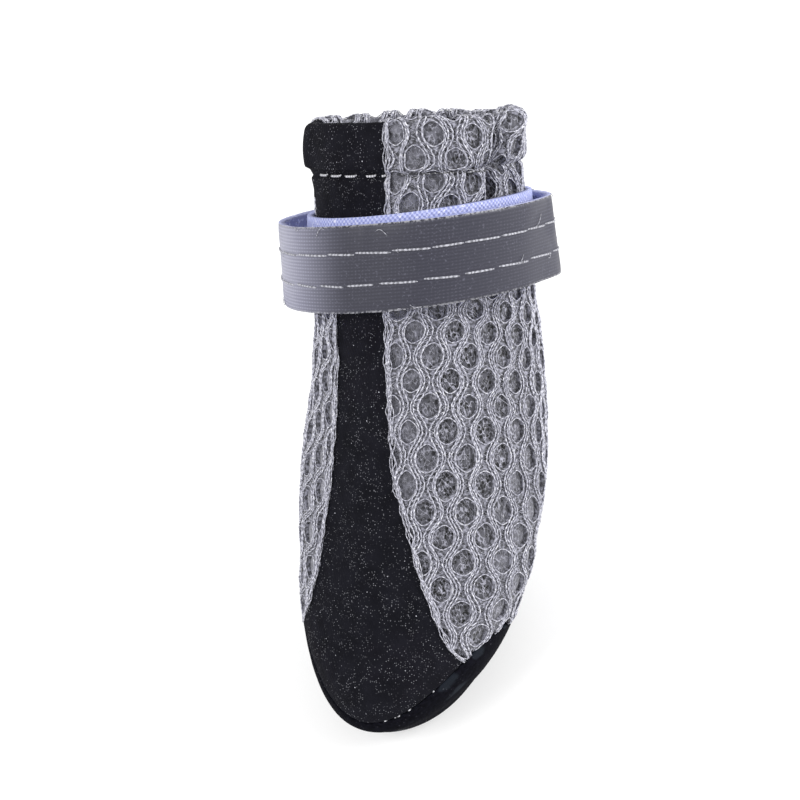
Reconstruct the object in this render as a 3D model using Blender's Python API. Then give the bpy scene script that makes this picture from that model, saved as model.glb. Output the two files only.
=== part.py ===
# Dog boot: a soft mesh boot with a rubber cup sole, an ankle tape and a reflective strap.
# Metres, +Z up, toe towards -Y. The origin is the middle of the sole's ground plane.

from collections import namedtuple
from math import atan2, cos, exp, hypot, pi, radians, sin, tan

import bmesh
import bpy

MM = 0.001
CLEARANCE = 0.3 * MM

# Driving dimensions of the last
FOOT_LENGTH = 53.0 * MM
BALL_WIDTH = 44.0 * MM
BOOT_HEIGHT = 100.5 * MM
RIM_BASE = 1.15
RIM_WING = 1.02
RIM_WING_TURN = radians(62)
RIM_WING_SPREAD = radians(34)

# Points around each ring of the upper, sole and insole
AROUND = 56

# Upper, with places along it given as section numbers
WALL = 2.2 * MM
HEM_BULGE = 0.7 * MM
HEM_START = 8.37
HEM_STEP = 0.10
HEM_RINGS = (8.37, 8.47, 8.62, 8.85)
LIP_DROP = 0.03
FOOT_LIFT = 0.4 * MM
TUCKED_FOOT = 0.42
TUCKED_SHARES = (0.0, 0.25, 0.5, 0.75, 1.0)
TUCK_GAP = 0.45 * MM
SHOULDER_GAP = 0.09
SHOULDER_RISE = 0.20
LAST_RIM_RING = 2.52
RING_STEP = 0.42
RING_COUNT = 14

# Sole
LUG_HEIGHT = 1.3 * MM
SOLE_THICKNESS = 2.2 * MM
RIM_WALL = 1.5 * MM
RIM_LOW = 0.12
RIM_LOW_INSET = 0.9 * MM
RIM_SHARES = (0.0, 0.25, 0.5, 0.75, 1.0)
RIM_FOOT = 0.4
RIM_CROWN = 0.06
BED_EDGE = 0.3
BED_CORNER = 0.9 * MM
BED_INSET = 3.0 * MM
TOE_SPRING = 4.4 * MM
TOE_SPRING_START = -9.0 * MM
HEEL_LIFT = 0.8 * MM
HEEL_LIFT_START = 18.5 * MM
ARCH_RISE = 0.8 * MM
ARCH_MIDDLE = 5.0 * MM
ARCH_HALF = 5.5 * MM
UNDERSIDE_INSET = 3.4 * MM
UNDERSIDE_ROUND = 1.8 * MM
UNDERSIDE_ROUND_RISE = 0.8 * MM

# Grip lugs are chevron bars
LUG_BAR = 3.2 * MM
LUG_PITCH = 5.8 * MM
LUG_SWEEP = 2.0 * MM
LUG_SIDE_MARGIN = 4.2 * MM
LUG_ROOT = 0.7 * MM
FOREFOOT_LUGS = (-3, -2, -1, 0)
HEEL_FIRST_LUG = 11.0 * MM
HEEL_LUGS = (0, 1)

# Insole
INSOLE_THICKNESS = 1.5 * MM
INSOLE_LIFT = 0.55 * MM

# Tape and strap, placed by section number along the shaft
BAND_AROUND = 52
TAPE_THICKNESS = 1.2 * MM
TAPE_LOW = 6.90
TAPE_HIGH = 8.02
STRAP_THICKNESS = 1.2 * MM
STRAP_LOW = 6.86
STRAP_HIGH = 7.96
BAND_SLANT = radians(2.4)
SECTION_STEP = 12.6 * MM
STRAP_SIDE_GAP = 2.1 * MM
STRAP_FRONT_GAP = 2.2 * MM
STRAP_LEFT_EXTRA = 0.9 * MM
SEWN_BACK = 0.7
SEWN_GAP = 0.42 * MM
OVERLAP_START = radians(95.0)
OVERLAP_TURN = radians(405.0)
OVERLAP_RAMP = radians(20.0)

# Each section is a closed curve in a leaning plane, named by where its plane crosses the side view.
# front_y and back_y are shares of half the foot length, front_z and back_z of the boot height,
# half_width of half the ball width. shift is in mm and side_rise in degrees.
Section = namedtuple(
    "Section", "front_y front_z back_y back_z half_width toe_egg squareness shift side_rise"
)
SECTIONS = (
    Section(-0.925, 0.065, 0.925, 0.035, 0.590, 0.17, 2.00, -0.2, 0.0),
    Section(-1.054, 0.110, 0.941, 0.090, 0.740, 0.04, 2.02, 0.0, 0.0),
    Section(-1.010, 0.200, 0.926, 0.170, 0.860, -0.08, 1.85, 0.7, 0.0),
    Section(-0.766, 0.310, 0.976, 0.250, 0.959, -0.10, 1.70, 0.9, 1.0),
    Section(-0.467, 0.430, 1.180, 0.330, 1.003, 0.00, 1.71, 0.4, 2.0),
    Section(-0.184, 0.550, 1.388, 0.415, 0.963, 0.07, 1.85, -0.4, 4.0),
    Section(0.046, 0.670, 1.546, 0.500, 0.912, 0.08, 1.90, -1.1, 8.0),
    Section(0.276, 0.780, 1.654, 0.590, 0.859, 0.06, 1.97, -2.0, 10.0),
    Section(0.500, 0.895, 1.774, 0.705, 0.824, 0.01, 2.00, -2.7, 10.0),
    Section(0.795, 1.023, 1.845, 0.857, 0.818, -0.03, 2.03, -3.2, 9.0),
)
COLLAR = len(SECTIONS) - 1


def clear_scene():
    for old in list(bpy.data.objects):
        bpy.data.objects.remove(old)


def material(name, colour, roughness, metallic=0.0):
    made = bpy.data.materials.new(name)
    made.use_nodes = True
    shader = made.node_tree.nodes["Principled BSDF"]
    shader.inputs["Base Color"].default_value = (*colour, 1.0)
    shader.inputs["Roughness"].default_value = roughness
    shader.inputs["Metallic"].default_value = metallic
    made.diffuse_color = (*colour, 1.0)
    return made


def section_at(number):
    """The section at a number between 0 and COLLAR, read from a smooth curve through the table."""
    low = min(max(int(number), 0), COLLAR - 1)
    part = number - low
    first, second = SECTIONS[low], SECTIONS[low + 1]
    values = []
    for column in range(len(first)):
        start, end = first[column], second[column]
        before = SECTIONS[low - 1][column] if low > 0 else 2 * start - end
        after = SECTIONS[low + 2][column] if low + 2 <= COLLAR else 2 * end - start
        bend = -before + 3 * start - 3 * end + after
        curve = 2 * before - 5 * start + 4 * end - after
        values.append(0.5 * (2 * start + (end - before) * part + curve * part**2 + bend * part**3))
    return Section(*values)


def boot_point(number, angle, offset=0.0):
    """A point of the boot's outer form, moved out by offset. Angle 0 is +X, a quarter turn the heel."""
    section = section_at(number)
    half_length = FOOT_LENGTH / 2
    front_y, back_y = section.front_y * half_length, section.back_y * half_length
    front_z, back_z = section.front_z * BOOT_HEIGHT, section.back_z * BOOT_HEIGHT
    half_depth = hypot(back_y - front_y, back_z - front_z) / 2
    lean = atan2(back_z - front_z, back_y - front_y)
    power = 2 / section.squareness
    across = abs(cos(angle)) ** power * (1 if cos(angle) > 0 else -1)
    along = abs(sin(angle)) ** power * (1 if sin(angle) > 0 else -1)
    side = (section.half_width * BALL_WIDTH / 2 + offset) * across * (1 + section.toe_egg * along)
    depth = (half_depth + offset) * along
    rise = radians(section.side_rise)
    x = side * cos(rise) + section.shift * MM
    y = (front_y + back_y) / 2 + depth * cos(lean)
    z = (front_z + back_z) / 2 + depth * sin(lean) + side * sin(rise)
    return (x, y, z)


def smooth_step(value):
    value = min(max(value, 0.0), 1.0)
    return value * value * (3 - 2 * value)


def sole_lift(y):
    """How far the sole's underside rises over its flat ball and heel: toe spring, arch, heel strike."""
    toe = max(TOE_SPRING_START - y, 0.0) / (FOOT_LENGTH / 2 + TOE_SPRING_START)
    heel = max(y - HEEL_LIFT_START, 0.0) / (FOOT_LENGTH / 2 - HEEL_LIFT_START)
    arch = max(1 - abs(y - ARCH_MIDDLE) / ARCH_HALF, 0.0)
    return TOE_SPRING * toe**2 + HEEL_LIFT * heel**2 + ARCH_RISE * smooth_step(arch)


def bed_height(y):
    return LUG_HEIGHT + SOLE_THICKNESS + sole_lift(y)


def rim_number(angle):
    """The section number of the sole rim's top, which rises in a wing at each side of the ball."""
    from_toe = abs((angle - 3 * pi / 2 + pi) % (2 * pi) - pi)
    return RIM_BASE + RIM_WING * exp(-(((from_toe - RIM_WING_TURN) / RIM_WING_SPREAD) ** 2))


def ring(number, offset, count):
    """A ring of points at one section number, or at a number that changes with the angle."""
    angles = [2 * pi * step / count for step in range(count)]
    numbers = [number(angle) if callable(number) else number for angle in angles]
    return [boot_point(here, angle, offset) for here, angle in zip(numbers, angles)]


def towards_rim(start, share, above=0.0):
    """A section number part of the way from a start to a height above the rim's top."""
    return lambda angle: start + share * (rim_number(angle) + above - start)


def lay_on_bed(points, above):
    """The same ring with its height taken from the sole's bed."""
    return [(x, y, bed_height(y) + above) for x, y, _ in points]


def add_object(name, mesh_data, finish, smooth_angle=radians(40)):
    mesh = bpy.data.meshes.new(name)
    mesh_data.to_mesh(mesh)
    mesh_data.free()
    mesh.shade_smooth()
    mesh.set_sharp_from_angle(angle=smooth_angle)
    mesh.materials.append(finish)
    made = bpy.data.objects.new(name, mesh)
    bpy.context.scene.collection.objects.link(made)
    return made


def skin_rings(rings, wraps=False, poles=False):
    """A closed body from rings of equal count: wrapped into a tube wall, or closed by two poles."""
    body = bmesh.new()
    loops = [[body.verts.new(point) for point in points] for points in rings]
    pairs = list(zip(loops, loops[1:]))
    if wraps:
        pairs.append((loops[-1], loops[0]))
    count = len(loops[0])
    for lower, upper in pairs:
        for step in range(count):
            after = (step + 1) % count
            body.faces.new((lower[step], lower[after], upper[after], upper[step]))
    if poles:
        for loop in (loops[0], loops[-1]):
            middle = [sum(vert.co[axis] for vert in loop) / count for axis in range(3)]
            pole = body.verts.new(middle)
            for step in range(count):
                body.faces.new((loop[step], loop[(step + 1) % count], pole))
    bmesh.ops.recalc_face_normals(body, faces=body.faces)
    return body


def hem_bulge(number):
    """How far the folded hem stands out of the shaft at a section number."""
    return HEM_BULGE * smooth_step((number - HEM_START) / HEM_STEP)


def make_upper():
    """One soft wall, open at the collar and underneath, tucked inside the sole's rim."""
    tuck = RIM_WALL + TUCK_GAP
    tucked = [towards_rim(TUCKED_FOOT, share, SHOULDER_GAP) for share in TUCKED_SHARES]
    numbers = [towards_rim(TUCKED_FOOT, 1.0, SHOULDER_RISE), LAST_RIM_RING]
    numbers += [LAST_RIM_RING + RING_STEP * step for step in range(1, RING_COUNT)] + list(HEM_RINGS)

    def outer_offset(number):
        return 0.0 if callable(number) else hem_bulge(number)

    foot = tuck + BED_CORNER
    outer = [lay_on_bed(ring(BED_EDGE, -foot, AROUND), FOOT_LIFT)]
    outer += [ring(number, -tuck, AROUND) for number in tucked]
    outer += [ring(number, outer_offset(number), AROUND) for number in numbers]
    hem = WALL + HEM_BULGE
    lip = [
        ring(COLLAR - LIP_DROP, HEM_BULGE - hem / 4, AROUND),
        ring(COLLAR, HEM_BULGE - hem / 2, AROUND),
        ring(COLLAR - LIP_DROP, HEM_BULGE - 3 * hem / 4, AROUND),
    ]
    inner = [ring(number, -WALL, AROUND) for number in reversed(numbers)]
    inner += [ring(number, -tuck - WALL, AROUND) for number in reversed(tucked)]
    inner.append(lay_on_bed(ring(BED_EDGE, -foot - WALL, AROUND), FOOT_LIFT))
    finish = material("silver mesh", (0.42, 0.42, 0.46), 0.45)
    return add_object("upper", skin_rings(outer + lip + inner, wraps=True), finish)


def lug_outline(middle_y):
    """A chevron bar across the sole, its point towards the toe, ending inside the sole's edge."""
    tips_y = middle_y + LUG_SWEEP
    edge = [point for point in ring(0.0, 0.0, 4 * AROUND) if point[0] > 0]
    reach = min(edge, key=lambda point: abs(point[1] - tips_y))[0] - LUG_SIDE_MARGIN
    half = LUG_BAR / 2
    return [
        (-reach, tips_y - half),
        (0.0, middle_y - half),
        (reach, tips_y - half),
        (reach, tips_y + half),
        (0.0, middle_y + half),
        (-reach, tips_y + half),
    ]


def make_lugs():
    """All grip bars as one guide mesh, which the sole takes in by a union."""
    places = [number * LUG_PITCH for number in FOREFOOT_LUGS]
    places += [HEEL_FIRST_LUG + number * LUG_PITCH for number in HEEL_LUGS]
    body = bmesh.new()
    for middle_y in places:
        outline = lug_outline(middle_y)
        ground = sole_lift(middle_y) if middle_y < TOE_SPRING_START else 0.0
        top = LUG_HEIGHT + sole_lift(middle_y) + LUG_ROOT
        foot = [body.verts.new((x, y, ground)) for x, y in outline]
        head = [body.verts.new((x, y, top)) for x, y in outline]
        body.faces.new(foot)
        body.faces.new(head)
        for step in range(len(outline)):
            after = (step + 1) % len(outline)
            body.faces.new((foot[step], foot[after], head[after], head[step]))
    bmesh.ops.recalc_face_normals(body, faces=body.faces)
    lugs = add_object("lug_bars", body, material("lug guide", (0.5, 0.5, 0.5), 0.5))
    lugs.hide_render = True
    lugs.display_type = "WIRE"
    return lugs


def make_sole():
    """A cup sole: underside with arch and toe spring, outer wall, rounded rim and flat bed."""

    def underside(offset, above, share=1.0):
        points = [(x * share, y * share) for x, y, _ in ring(0.0, offset, AROUND)]
        return [(x, y, LUG_HEIGHT + sole_lift(y) + above) for x, y in points]

    rings = [underside(-UNDERSIDE_INSET, 0.0, share) for share in (0.25, 0.5, 0.75, 1.0)]
    rings.append(underside(-UNDERSIDE_INSET + UNDERSIDE_ROUND, UNDERSIDE_ROUND_RISE))
    rings.append(lay_on_bed(ring(RIM_LOW, -RIM_LOW_INSET, AROUND), -SOLE_THICKNESS / 2))
    wall = [towards_rim(RIM_FOOT, share) for share in RIM_SHARES]
    crown = towards_rim(RIM_FOOT, 1.0, RIM_CROWN)
    rings += [ring(number, 0.0, AROUND) for number in wall]
    rings.append(ring(crown, -RIM_WALL / 4, AROUND))
    rings.append(ring(crown, -3 * RIM_WALL / 4, AROUND))
    rings += [ring(number, -RIM_WALL, AROUND) for number in reversed(wall[1:])]
    corner = RIM_WALL + BED_CORNER
    rings.append(lay_on_bed(ring(BED_EDGE, -corner, AROUND), 0.0))
    bed = ring(BED_EDGE, -corner - BED_INSET, AROUND)
    for share in (1.0, 0.75, 0.5, 0.25):
        rings.append(lay_on_bed([(x * share, y * share, z) for x, y, z in bed], 0.0))
    finish = material("black rubber", (0.012, 0.012, 0.014), 0.6)
    sole = add_object("sole", skin_rings(rings, poles=True), finish)
    union = sole.modifiers.new("grip bars", "BOOLEAN")
    union.operation = "UNION"
    union.object = make_lugs()
    return sole


def make_insole():
    """A thin sheet on the sole's bed, inside the upper's wall."""
    inset = RIM_WALL + TUCK_GAP + BED_CORNER + WALL + CLEARANCE
    edge = ring(BED_EDGE, -inset, AROUND)
    rings = []
    for above, shares in ((0.0, (0.25, 0.5, 0.75, 1.0)), (INSOLE_THICKNESS, (1.0, 0.75, 0.5, 0.25))):
        for share in shares:
            points = [(x * share, y * share, z) for x, y, z in edge]
            rings.append(lay_on_bed(points, INSOLE_LIFT + above))
    finish = material("grey foam", (0.12, 0.12, 0.13), 0.9)
    return add_object("insole", skin_rings(rings, poles=True), finish)


def band_number(base, angle):
    """The section number of a slanted band's edge: it rises towards +X across the front."""
    side = BALL_WIDTH / 2 * cos(angle)
    return base + tan(BAND_SLANT) * side / SECTION_STEP


def make_ankle_tape():
    """The loop tape, sewn flat round the shaft."""
    corners = (
        (TAPE_LOW, CLEARANCE),
        (TAPE_LOW, CLEARANCE + TAPE_THICKNESS),
        ((TAPE_LOW + TAPE_HIGH) / 2, CLEARANCE + TAPE_THICKNESS),
        (TAPE_HIGH, CLEARANCE + TAPE_THICKNESS),
        (TAPE_HIGH, CLEARANCE),
        ((TAPE_LOW + TAPE_HIGH) / 2, CLEARANCE),
    )
    angles = [2 * pi * step / BAND_AROUND for step in range(BAND_AROUND)]
    rings = [
        [boot_point(band_number(base, angle), angle, offset) for angle in angles]
        for base, offset in corners
    ]
    finish = material("lavender loop tape", (0.45, 0.45, 0.75), 0.9)
    return add_object("ankle_tape", skin_rings(rings, wraps=True), finish)


def strap_gap(turn):
    """Clear space between tape and strap: none at the sewn back, wide at the slack sides and front."""
    side = abs(cos(turn))
    front = max(-sin(turn), 0.0)
    left = max(-cos(turn), 0.0)
    from_back = smooth_step((1 - sin(turn)) / SEWN_BACK)
    slack = STRAP_SIDE_GAP * side + STRAP_FRONT_GAP * front + STRAP_LEFT_EXTRA * left
    return SEWN_GAP + slack * from_back


def make_strap():
    """The hook tape: one turn round the ankle and an overlap behind, ending on the left."""
    inside = CLEARANCE + TAPE_THICKNESS
    count = round(BAND_AROUND * OVERLAP_TURN / (2 * pi))
    second_layer = STRAP_THICKNESS + CLEARANCE
    body = bmesh.new()
    frames = []
    for step in range(count + 1):
        turn = OVERLAP_START + OVERLAP_TURN * step / count
        over = smooth_step((turn - OVERLAP_START - 2 * pi + OVERLAP_RAMP) / OVERLAP_RAMP)
        near = inside + strap_gap(turn) + second_layer * over
        far = near + STRAP_THICKNESS
        low, high = band_number(STRAP_LOW, turn), band_number(STRAP_HIGH, turn)
        corners = ((low, near), (low, far), (high, far), (high, near))
        frames.append([body.verts.new(boot_point(number, turn, offset)) for number, offset in corners])
    for first, second in zip(frames, frames[1:]):
        for corner in range(4):
            after = (corner + 1) % 4
            body.faces.new((first[corner], first[after], second[after], second[corner]))
    body.faces.new(frames[0])
    body.faces.new(frames[-1])
    bmesh.ops.recalc_face_normals(body, faces=body.faces)
    finish = material("grey reflective tape", (0.10, 0.10, 0.11), 0.5)
    return add_object("reflective_strap", body, finish)


clear_scene()
make_upper()
make_sole()
make_insole()
make_ankle_tape()
make_strap()
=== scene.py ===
# A dog boot of silver knitted mesh with a black front panel, a folded hem, a rubber cup sole,
# a lavender loop tape and a slack grey reflective strap. Metres, +Z up, toe towards -Y.
from collections import namedtuple

import bpy
import numpy as np
from mathutils import Matrix, Vector


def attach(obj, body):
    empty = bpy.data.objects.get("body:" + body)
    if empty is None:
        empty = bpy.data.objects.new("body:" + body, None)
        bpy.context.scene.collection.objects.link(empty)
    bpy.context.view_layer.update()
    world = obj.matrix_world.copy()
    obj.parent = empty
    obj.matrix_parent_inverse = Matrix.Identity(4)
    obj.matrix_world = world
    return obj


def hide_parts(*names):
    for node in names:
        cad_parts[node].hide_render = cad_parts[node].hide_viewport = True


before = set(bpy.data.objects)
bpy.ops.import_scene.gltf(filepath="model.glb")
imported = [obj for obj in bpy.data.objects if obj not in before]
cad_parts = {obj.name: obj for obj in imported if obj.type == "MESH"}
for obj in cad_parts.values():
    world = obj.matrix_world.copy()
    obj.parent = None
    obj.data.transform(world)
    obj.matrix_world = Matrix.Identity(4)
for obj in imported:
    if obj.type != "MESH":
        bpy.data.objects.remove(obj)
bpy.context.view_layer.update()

bpy.ops.object.select_all(action="DESELECT")
MM = 0.001


# The room is a wide pale floor under a soft white sky, with a large lamp high at the left of the
# camera and a lower one at its right. The camera looks down on the toe as the photograph does.
FULL_TURN = 6.2832


class Wire:
    """One socket of a material. Sums, products and differences of wires add Math nodes."""

    def __init__(self, tree, socket=None):
        self.tree, self.socket = tree, socket

    def node(self, kind, settings, values, out=0):
        """A new node of one kind: its settings first, then the values or wires of its sockets."""
        made = self.tree.nodes.new("ShaderNode" + kind)
        for name, setting in settings.items():
            setattr(made, name, setting)
        for name, value in values.items():
            if isinstance(value, Wire):
                self.tree.links.new(value.socket, made.inputs[name])
            else:
                made.inputs[name].default_value = value
        return Wire(self.tree, made.outputs[out])

    def math(self, operation, first, second=0.0):
        return self.node("Math", {"operation": operation}, {0: first, 1: second})

    def __add__(self, other):
        return self.math("ADD", self, other)

    def __sub__(self, other):
        return self.math("SUBTRACT", self, other)

    def __rsub__(self, other):
        return self.math("SUBTRACT", other, self)

    def __mul__(self, other):
        return self.math("MULTIPLY", self, other)

    __radd__, __rmul__ = __add__, __mul__

    def wave(self):
        """A sine wave of this number of turns, from 0 to 1."""
        return self.math("SINE", self * FULL_TURN) * 0.5 + 0.5

    def rise(self, low, high):
        """0 below low and 1 above high, with a soft step between."""
        settings = {"interpolation_type": "SMOOTHSTEP"}
        return self.node("MapRange", settings, {0: self, 1: low, 2: high, 3: 0.0, 4: 1.0})

    def blend(self, first, second):
        """A colour between two, with this wire as the share of the second."""
        return self.node("Mix", {"data_type": "RGBA"}, {0: self, 6: first, 7: second}, 2)

    def place(self):
        """The point on the piece, in metres."""
        return self.node("TexCoord", {}, {}, 3)

    def coordinate(self, axis):
        """The point's place along X (0), Y (1) or Z (2), in metres."""
        return self.node("SeparateXYZ", {}, {0: self.place()}, axis)

    def attribute(self, name):
        return self.node("Attribute", {"attribute_name": name}, {}, 2)

    def cloth_uv(self, index):
        """How far a point is along a cloth grid (0) or up it (1), from 0 to 1."""
        return self.node("SeparateXYZ", {}, {0: self.node("TexCoord", {}, {}, 2)}, index)

    def noise(self, scale, detail=2.0):
        values = {"Vector": self.place(), "Scale": scale, "Detail": detail}
        return self.node("TexNoise", {}, values)

    def cells(self, scale, out=0):
        """Voronoi cells: the distance to their points (0), or their random colours (1)."""
        return self.node("TexVoronoi", {}, {"Vector": self.place(), "Scale": scale}, out)

    def chance(self, scale, channel):
        """A random number for each cell, from its colour's red (0) or green (1)."""
        return self.node("SeparateColor", {}, {0: self.cells(scale, 1)}, channel)

    def bump(self, height, distance, strength):
        values = {"Height": height, "Distance": distance, "Strength": strength}
        return self.node("Bump", {}, values)


def grey(level, blue=1.0):
    """A grey colour, made cooler by more blue than 1."""
    return (level, level, level * blue, 1.0)


def new_finish(name, **fixed):
    """A material with the given constants on its shader, and a wire to start its patterns from."""
    material = bpy.data.materials.new(name)
    material.use_nodes = True
    shader = material.node_tree.nodes["Principled BSDF"]
    for socket, value in fixed.items():
        shader.inputs[socket.replace("_", " ")].default_value = value
    return material, shader, Wire(material.node_tree)


def connect(wire, shader, socket):
    wire.tree.links.new(wire.socket, shader.inputs[socket])


FLOOR_SIZE = 3.0
FLOOR_GLOW = 0.42
bpy.ops.mesh.primitive_plane_add(size=FLOOR_SIZE, location=(0.0, 0.0, 0.0))
floor = bpy.context.object
floor.name = "studio_floor"
material, shader, paint = new_finish(
    "pale_floor", Roughness=0.9, Specular_IOR_Level=0.1,
    Emission_Color=grey(1.0), Emission_Strength=FLOOR_GLOW,
)
connect(paint.noise(3.0).rise(0.2, 0.8).blend(grey(0.60), grey(0.62)), shader, "Base Color")
floor.data.materials.append(material)

SKY_STRENGTH = 0.80
world = bpy.data.worlds.new("soft_white_sky")
world.use_nodes = True
world.node_tree.nodes["Background"].inputs["Color"].default_value = grey(1.0)
world.node_tree.nodes["Background"].inputs["Strength"].default_value = SKY_STRENGTH
bpy.context.scene.world = world

VIEW_TARGET = Vector((0.7, 10.0, 48.0)) * MM
VIEW_TURN = np.radians(26.995)
VIEW_RISE = np.radians(40.981)
VIEW_ROLL = np.radians(9.391)
VIEW_DISTANCE = 380.0 * MM
LENS = 99.2
TARGET_RIGHT = 3.28 * MM
TARGET_BELOW = 4.30 * MM
view_back = Vector((
    np.sin(VIEW_TURN) * np.cos(VIEW_RISE),
    -np.cos(VIEW_TURN) * np.cos(VIEW_RISE),
    np.sin(VIEW_RISE),
))
level_right = Vector((np.cos(VIEW_TURN), np.sin(VIEW_TURN), 0.0))
level_up = view_back.cross(level_right)
view_right = level_right * np.cos(VIEW_ROLL) - level_up * np.sin(VIEW_ROLL)
view_up = level_right * np.sin(VIEW_ROLL) + level_up * np.cos(VIEW_ROLL)
aim = VIEW_TARGET - view_right * TARGET_RIGHT + view_up * TARGET_BELOW
turned = Matrix((view_right, view_up, view_back)).transposed().to_4x4()
camera_data = bpy.data.cameras.new("photo_view")
camera_data.lens = LENS
camera = bpy.data.objects.new("photo_view", camera_data)
camera.matrix_world = Matrix.Translation(aim + view_back * VIEW_DISTANCE) @ turned
bpy.context.scene.collection.objects.link(camera)
bpy.context.scene.camera = camera
bpy.context.scene.view_settings.view_transform = "Standard"

# A lamp's place is in metres from the boot: to the camera's right, up, and back towards it.
Lamp = namedtuple("Lamp", "name right up back size power")
LAMPS = (
    Lamp("key_lamp", -0.62, 0.75, 0.48, 0.50, 6.8),
    Lamp("fill_lamp", 0.85, 0.45, 0.10, 0.60, 8.5),
)
for lamp in LAMPS:
    light_data = bpy.data.lights.new(lamp.name, "AREA")
    light_data.size = lamp.size
    light_data.energy = lamp.power
    light = bpy.data.objects.new(lamp.name, light_data)
    place = level_right * lamp.right + Vector((0.0, 0.0, lamp.up))
    place += Vector((view_back.x, view_back.y, 0.0)).normalized() * lamp.back
    light.location = place
    light.rotation_euler = (place - VIEW_TARGET).to_track_quat("Z", "Y").to_euler()
    bpy.context.scene.collection.objects.link(light)


# The lining is one thin close-knit sleeve inside the whole upper, stitched into the sole's rim
# and folded under the hem. It follows the last, whose sections and soft folds stand here.
Section = namedtuple(
    "Section", "front_y front_z back_y back_z half_width toe_egg squareness shift side_rise"
)
FOOT_LENGTH = 53.0
BALL_WIDTH = 44.0
BOOT_HEIGHT = 100.5
SECTIONS = np.array((
    Section(-0.925, 0.065, 0.925, 0.035, 0.590, 0.17, 2.00, -0.2, 0.0),
    Section(-1.054, 0.110, 0.941, 0.090, 0.740, 0.04, 2.02, 0.0, 0.0),
    Section(-1.010, 0.200, 0.926, 0.170, 0.860, -0.08, 1.85, 0.7, 0.0),
    Section(-0.766, 0.310, 0.976, 0.250, 0.959, -0.10, 1.70, 0.9, 1.0),
    Section(-0.467, 0.430, 1.180, 0.330, 1.003, 0.00, 1.71, 0.4, 2.0),
    Section(-0.184, 0.550, 1.388, 0.415, 0.963, 0.07, 1.85, -0.4, 4.0),
    Section(0.046, 0.670, 1.546, 0.500, 0.912, 0.08, 1.90, -1.1, 8.0),
    Section(0.276, 0.780, 1.654, 0.590, 0.859, 0.06, 1.97, -2.0, 10.0),
    Section(0.500, 0.895, 1.774, 0.705, 0.824, 0.01, 2.00, -2.7, 10.0),
    Section(0.795, 1.023, 1.845, 0.857, 0.818, -0.03, 2.03, -3.2, 9.0),
))
HEM_BULGE, HEM_START, HEM_STEP = 0.7, 8.40, 0.10
LIP_START, LIP_RISE, LIP_END = 8.903, 0.097, 9.208
LIP_MIDDLE, LIP_HALF = -0.75, 1.45
WALL = 2.2
TOE_ANGLE = 270.0
RIM_BASE, RIM_WING = 1.09, 1.08
RIM_WING_TURN, RIM_WING_SPREAD = 62.0, 34.0
SECTION_STEP = 12.6


def smooth_step(value):
    value = np.clip(value, 0.0, 1.0)
    return value * value * (3 - 2 * value)


def bell(distance, spread):
    """A soft bell curve, 1 at its middle and 0.37 at its spread."""
    return np.exp(-((distance / spread) ** 2))


def around_from(turn, middle):
    """How many degrees a turn stands from a middle, the shorter way round."""
    return (turn - middle + 180.0) % 360.0 - 180.0


def sections_at(number):
    """The sections at numbers from 0 to 9, read from a smooth curve through the table."""
    rows = np.vstack((2 * SECTIONS[0] - SECTIONS[1], SECTIONS, 2 * SECTIONS[-1] - SECTIONS[-2]))
    low = np.clip(np.floor(number).astype(int), 0, len(SECTIONS) - 2)
    part = (number - low)[..., None]
    before, start, end, after = rows[low], rows[low + 1], rows[low + 2], rows[low + 3]
    bend = -before + 3 * start - 3 * end + after
    curve = 2 * before - 5 * start + 4 * end - after
    return 0.5 * (2 * start + (end - before) * part + curve * part**2 + bend * part**3)


def last_point(number, angle, offset):
    """Points of the last in mm, moved out by an offset. Angle 0 is +X, 90 degrees the heel."""
    number, angle, offset = np.broadcast_arrays(np.asarray(number, float), angle, offset)
    section = Section(*np.moveaxis(sections_at(number), -1, 0))
    front_y, back_y = section.front_y * FOOT_LENGTH / 2, section.back_y * FOOT_LENGTH / 2
    front_z, back_z = section.front_z * BOOT_HEIGHT, section.back_z * BOOT_HEIGHT
    half_depth = np.hypot(back_y - front_y, back_z - front_z) / 2
    lean = np.arctan2(back_z - front_z, back_y - front_y)
    turn = np.radians(angle)
    power = 2 / section.squareness
    across = np.sign(np.cos(turn)) * np.abs(np.cos(turn)) ** power
    along = np.sign(np.sin(turn)) * np.abs(np.sin(turn)) ** power
    side = (section.half_width * BALL_WIDTH / 2 + offset) * across * (1 + section.toe_egg * along)
    depth = (half_depth + offset) * along
    rise = np.radians(section.side_rise)
    x = side * np.cos(rise) + section.shift
    y = (front_y + back_y) / 2 + depth * np.cos(lean)
    z = (front_z + back_z) / 2 + depth * np.sin(lean) + side * np.sin(rise)
    return np.stack((x, y, z), -1)


def rim_number(angle):
    """The section number of the sole rim's top, which rises in a wing at each side of the ball."""
    from_toe = np.abs(around_from(angle, TOE_ANGLE))
    return RIM_BASE + RIM_WING * bell(from_toe - RIM_WING_TURN, RIM_WING_SPREAD)


def hem_bulge(number):
    return HEM_BULGE * smooth_step((number - HEM_START) / HEM_STEP)


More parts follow.
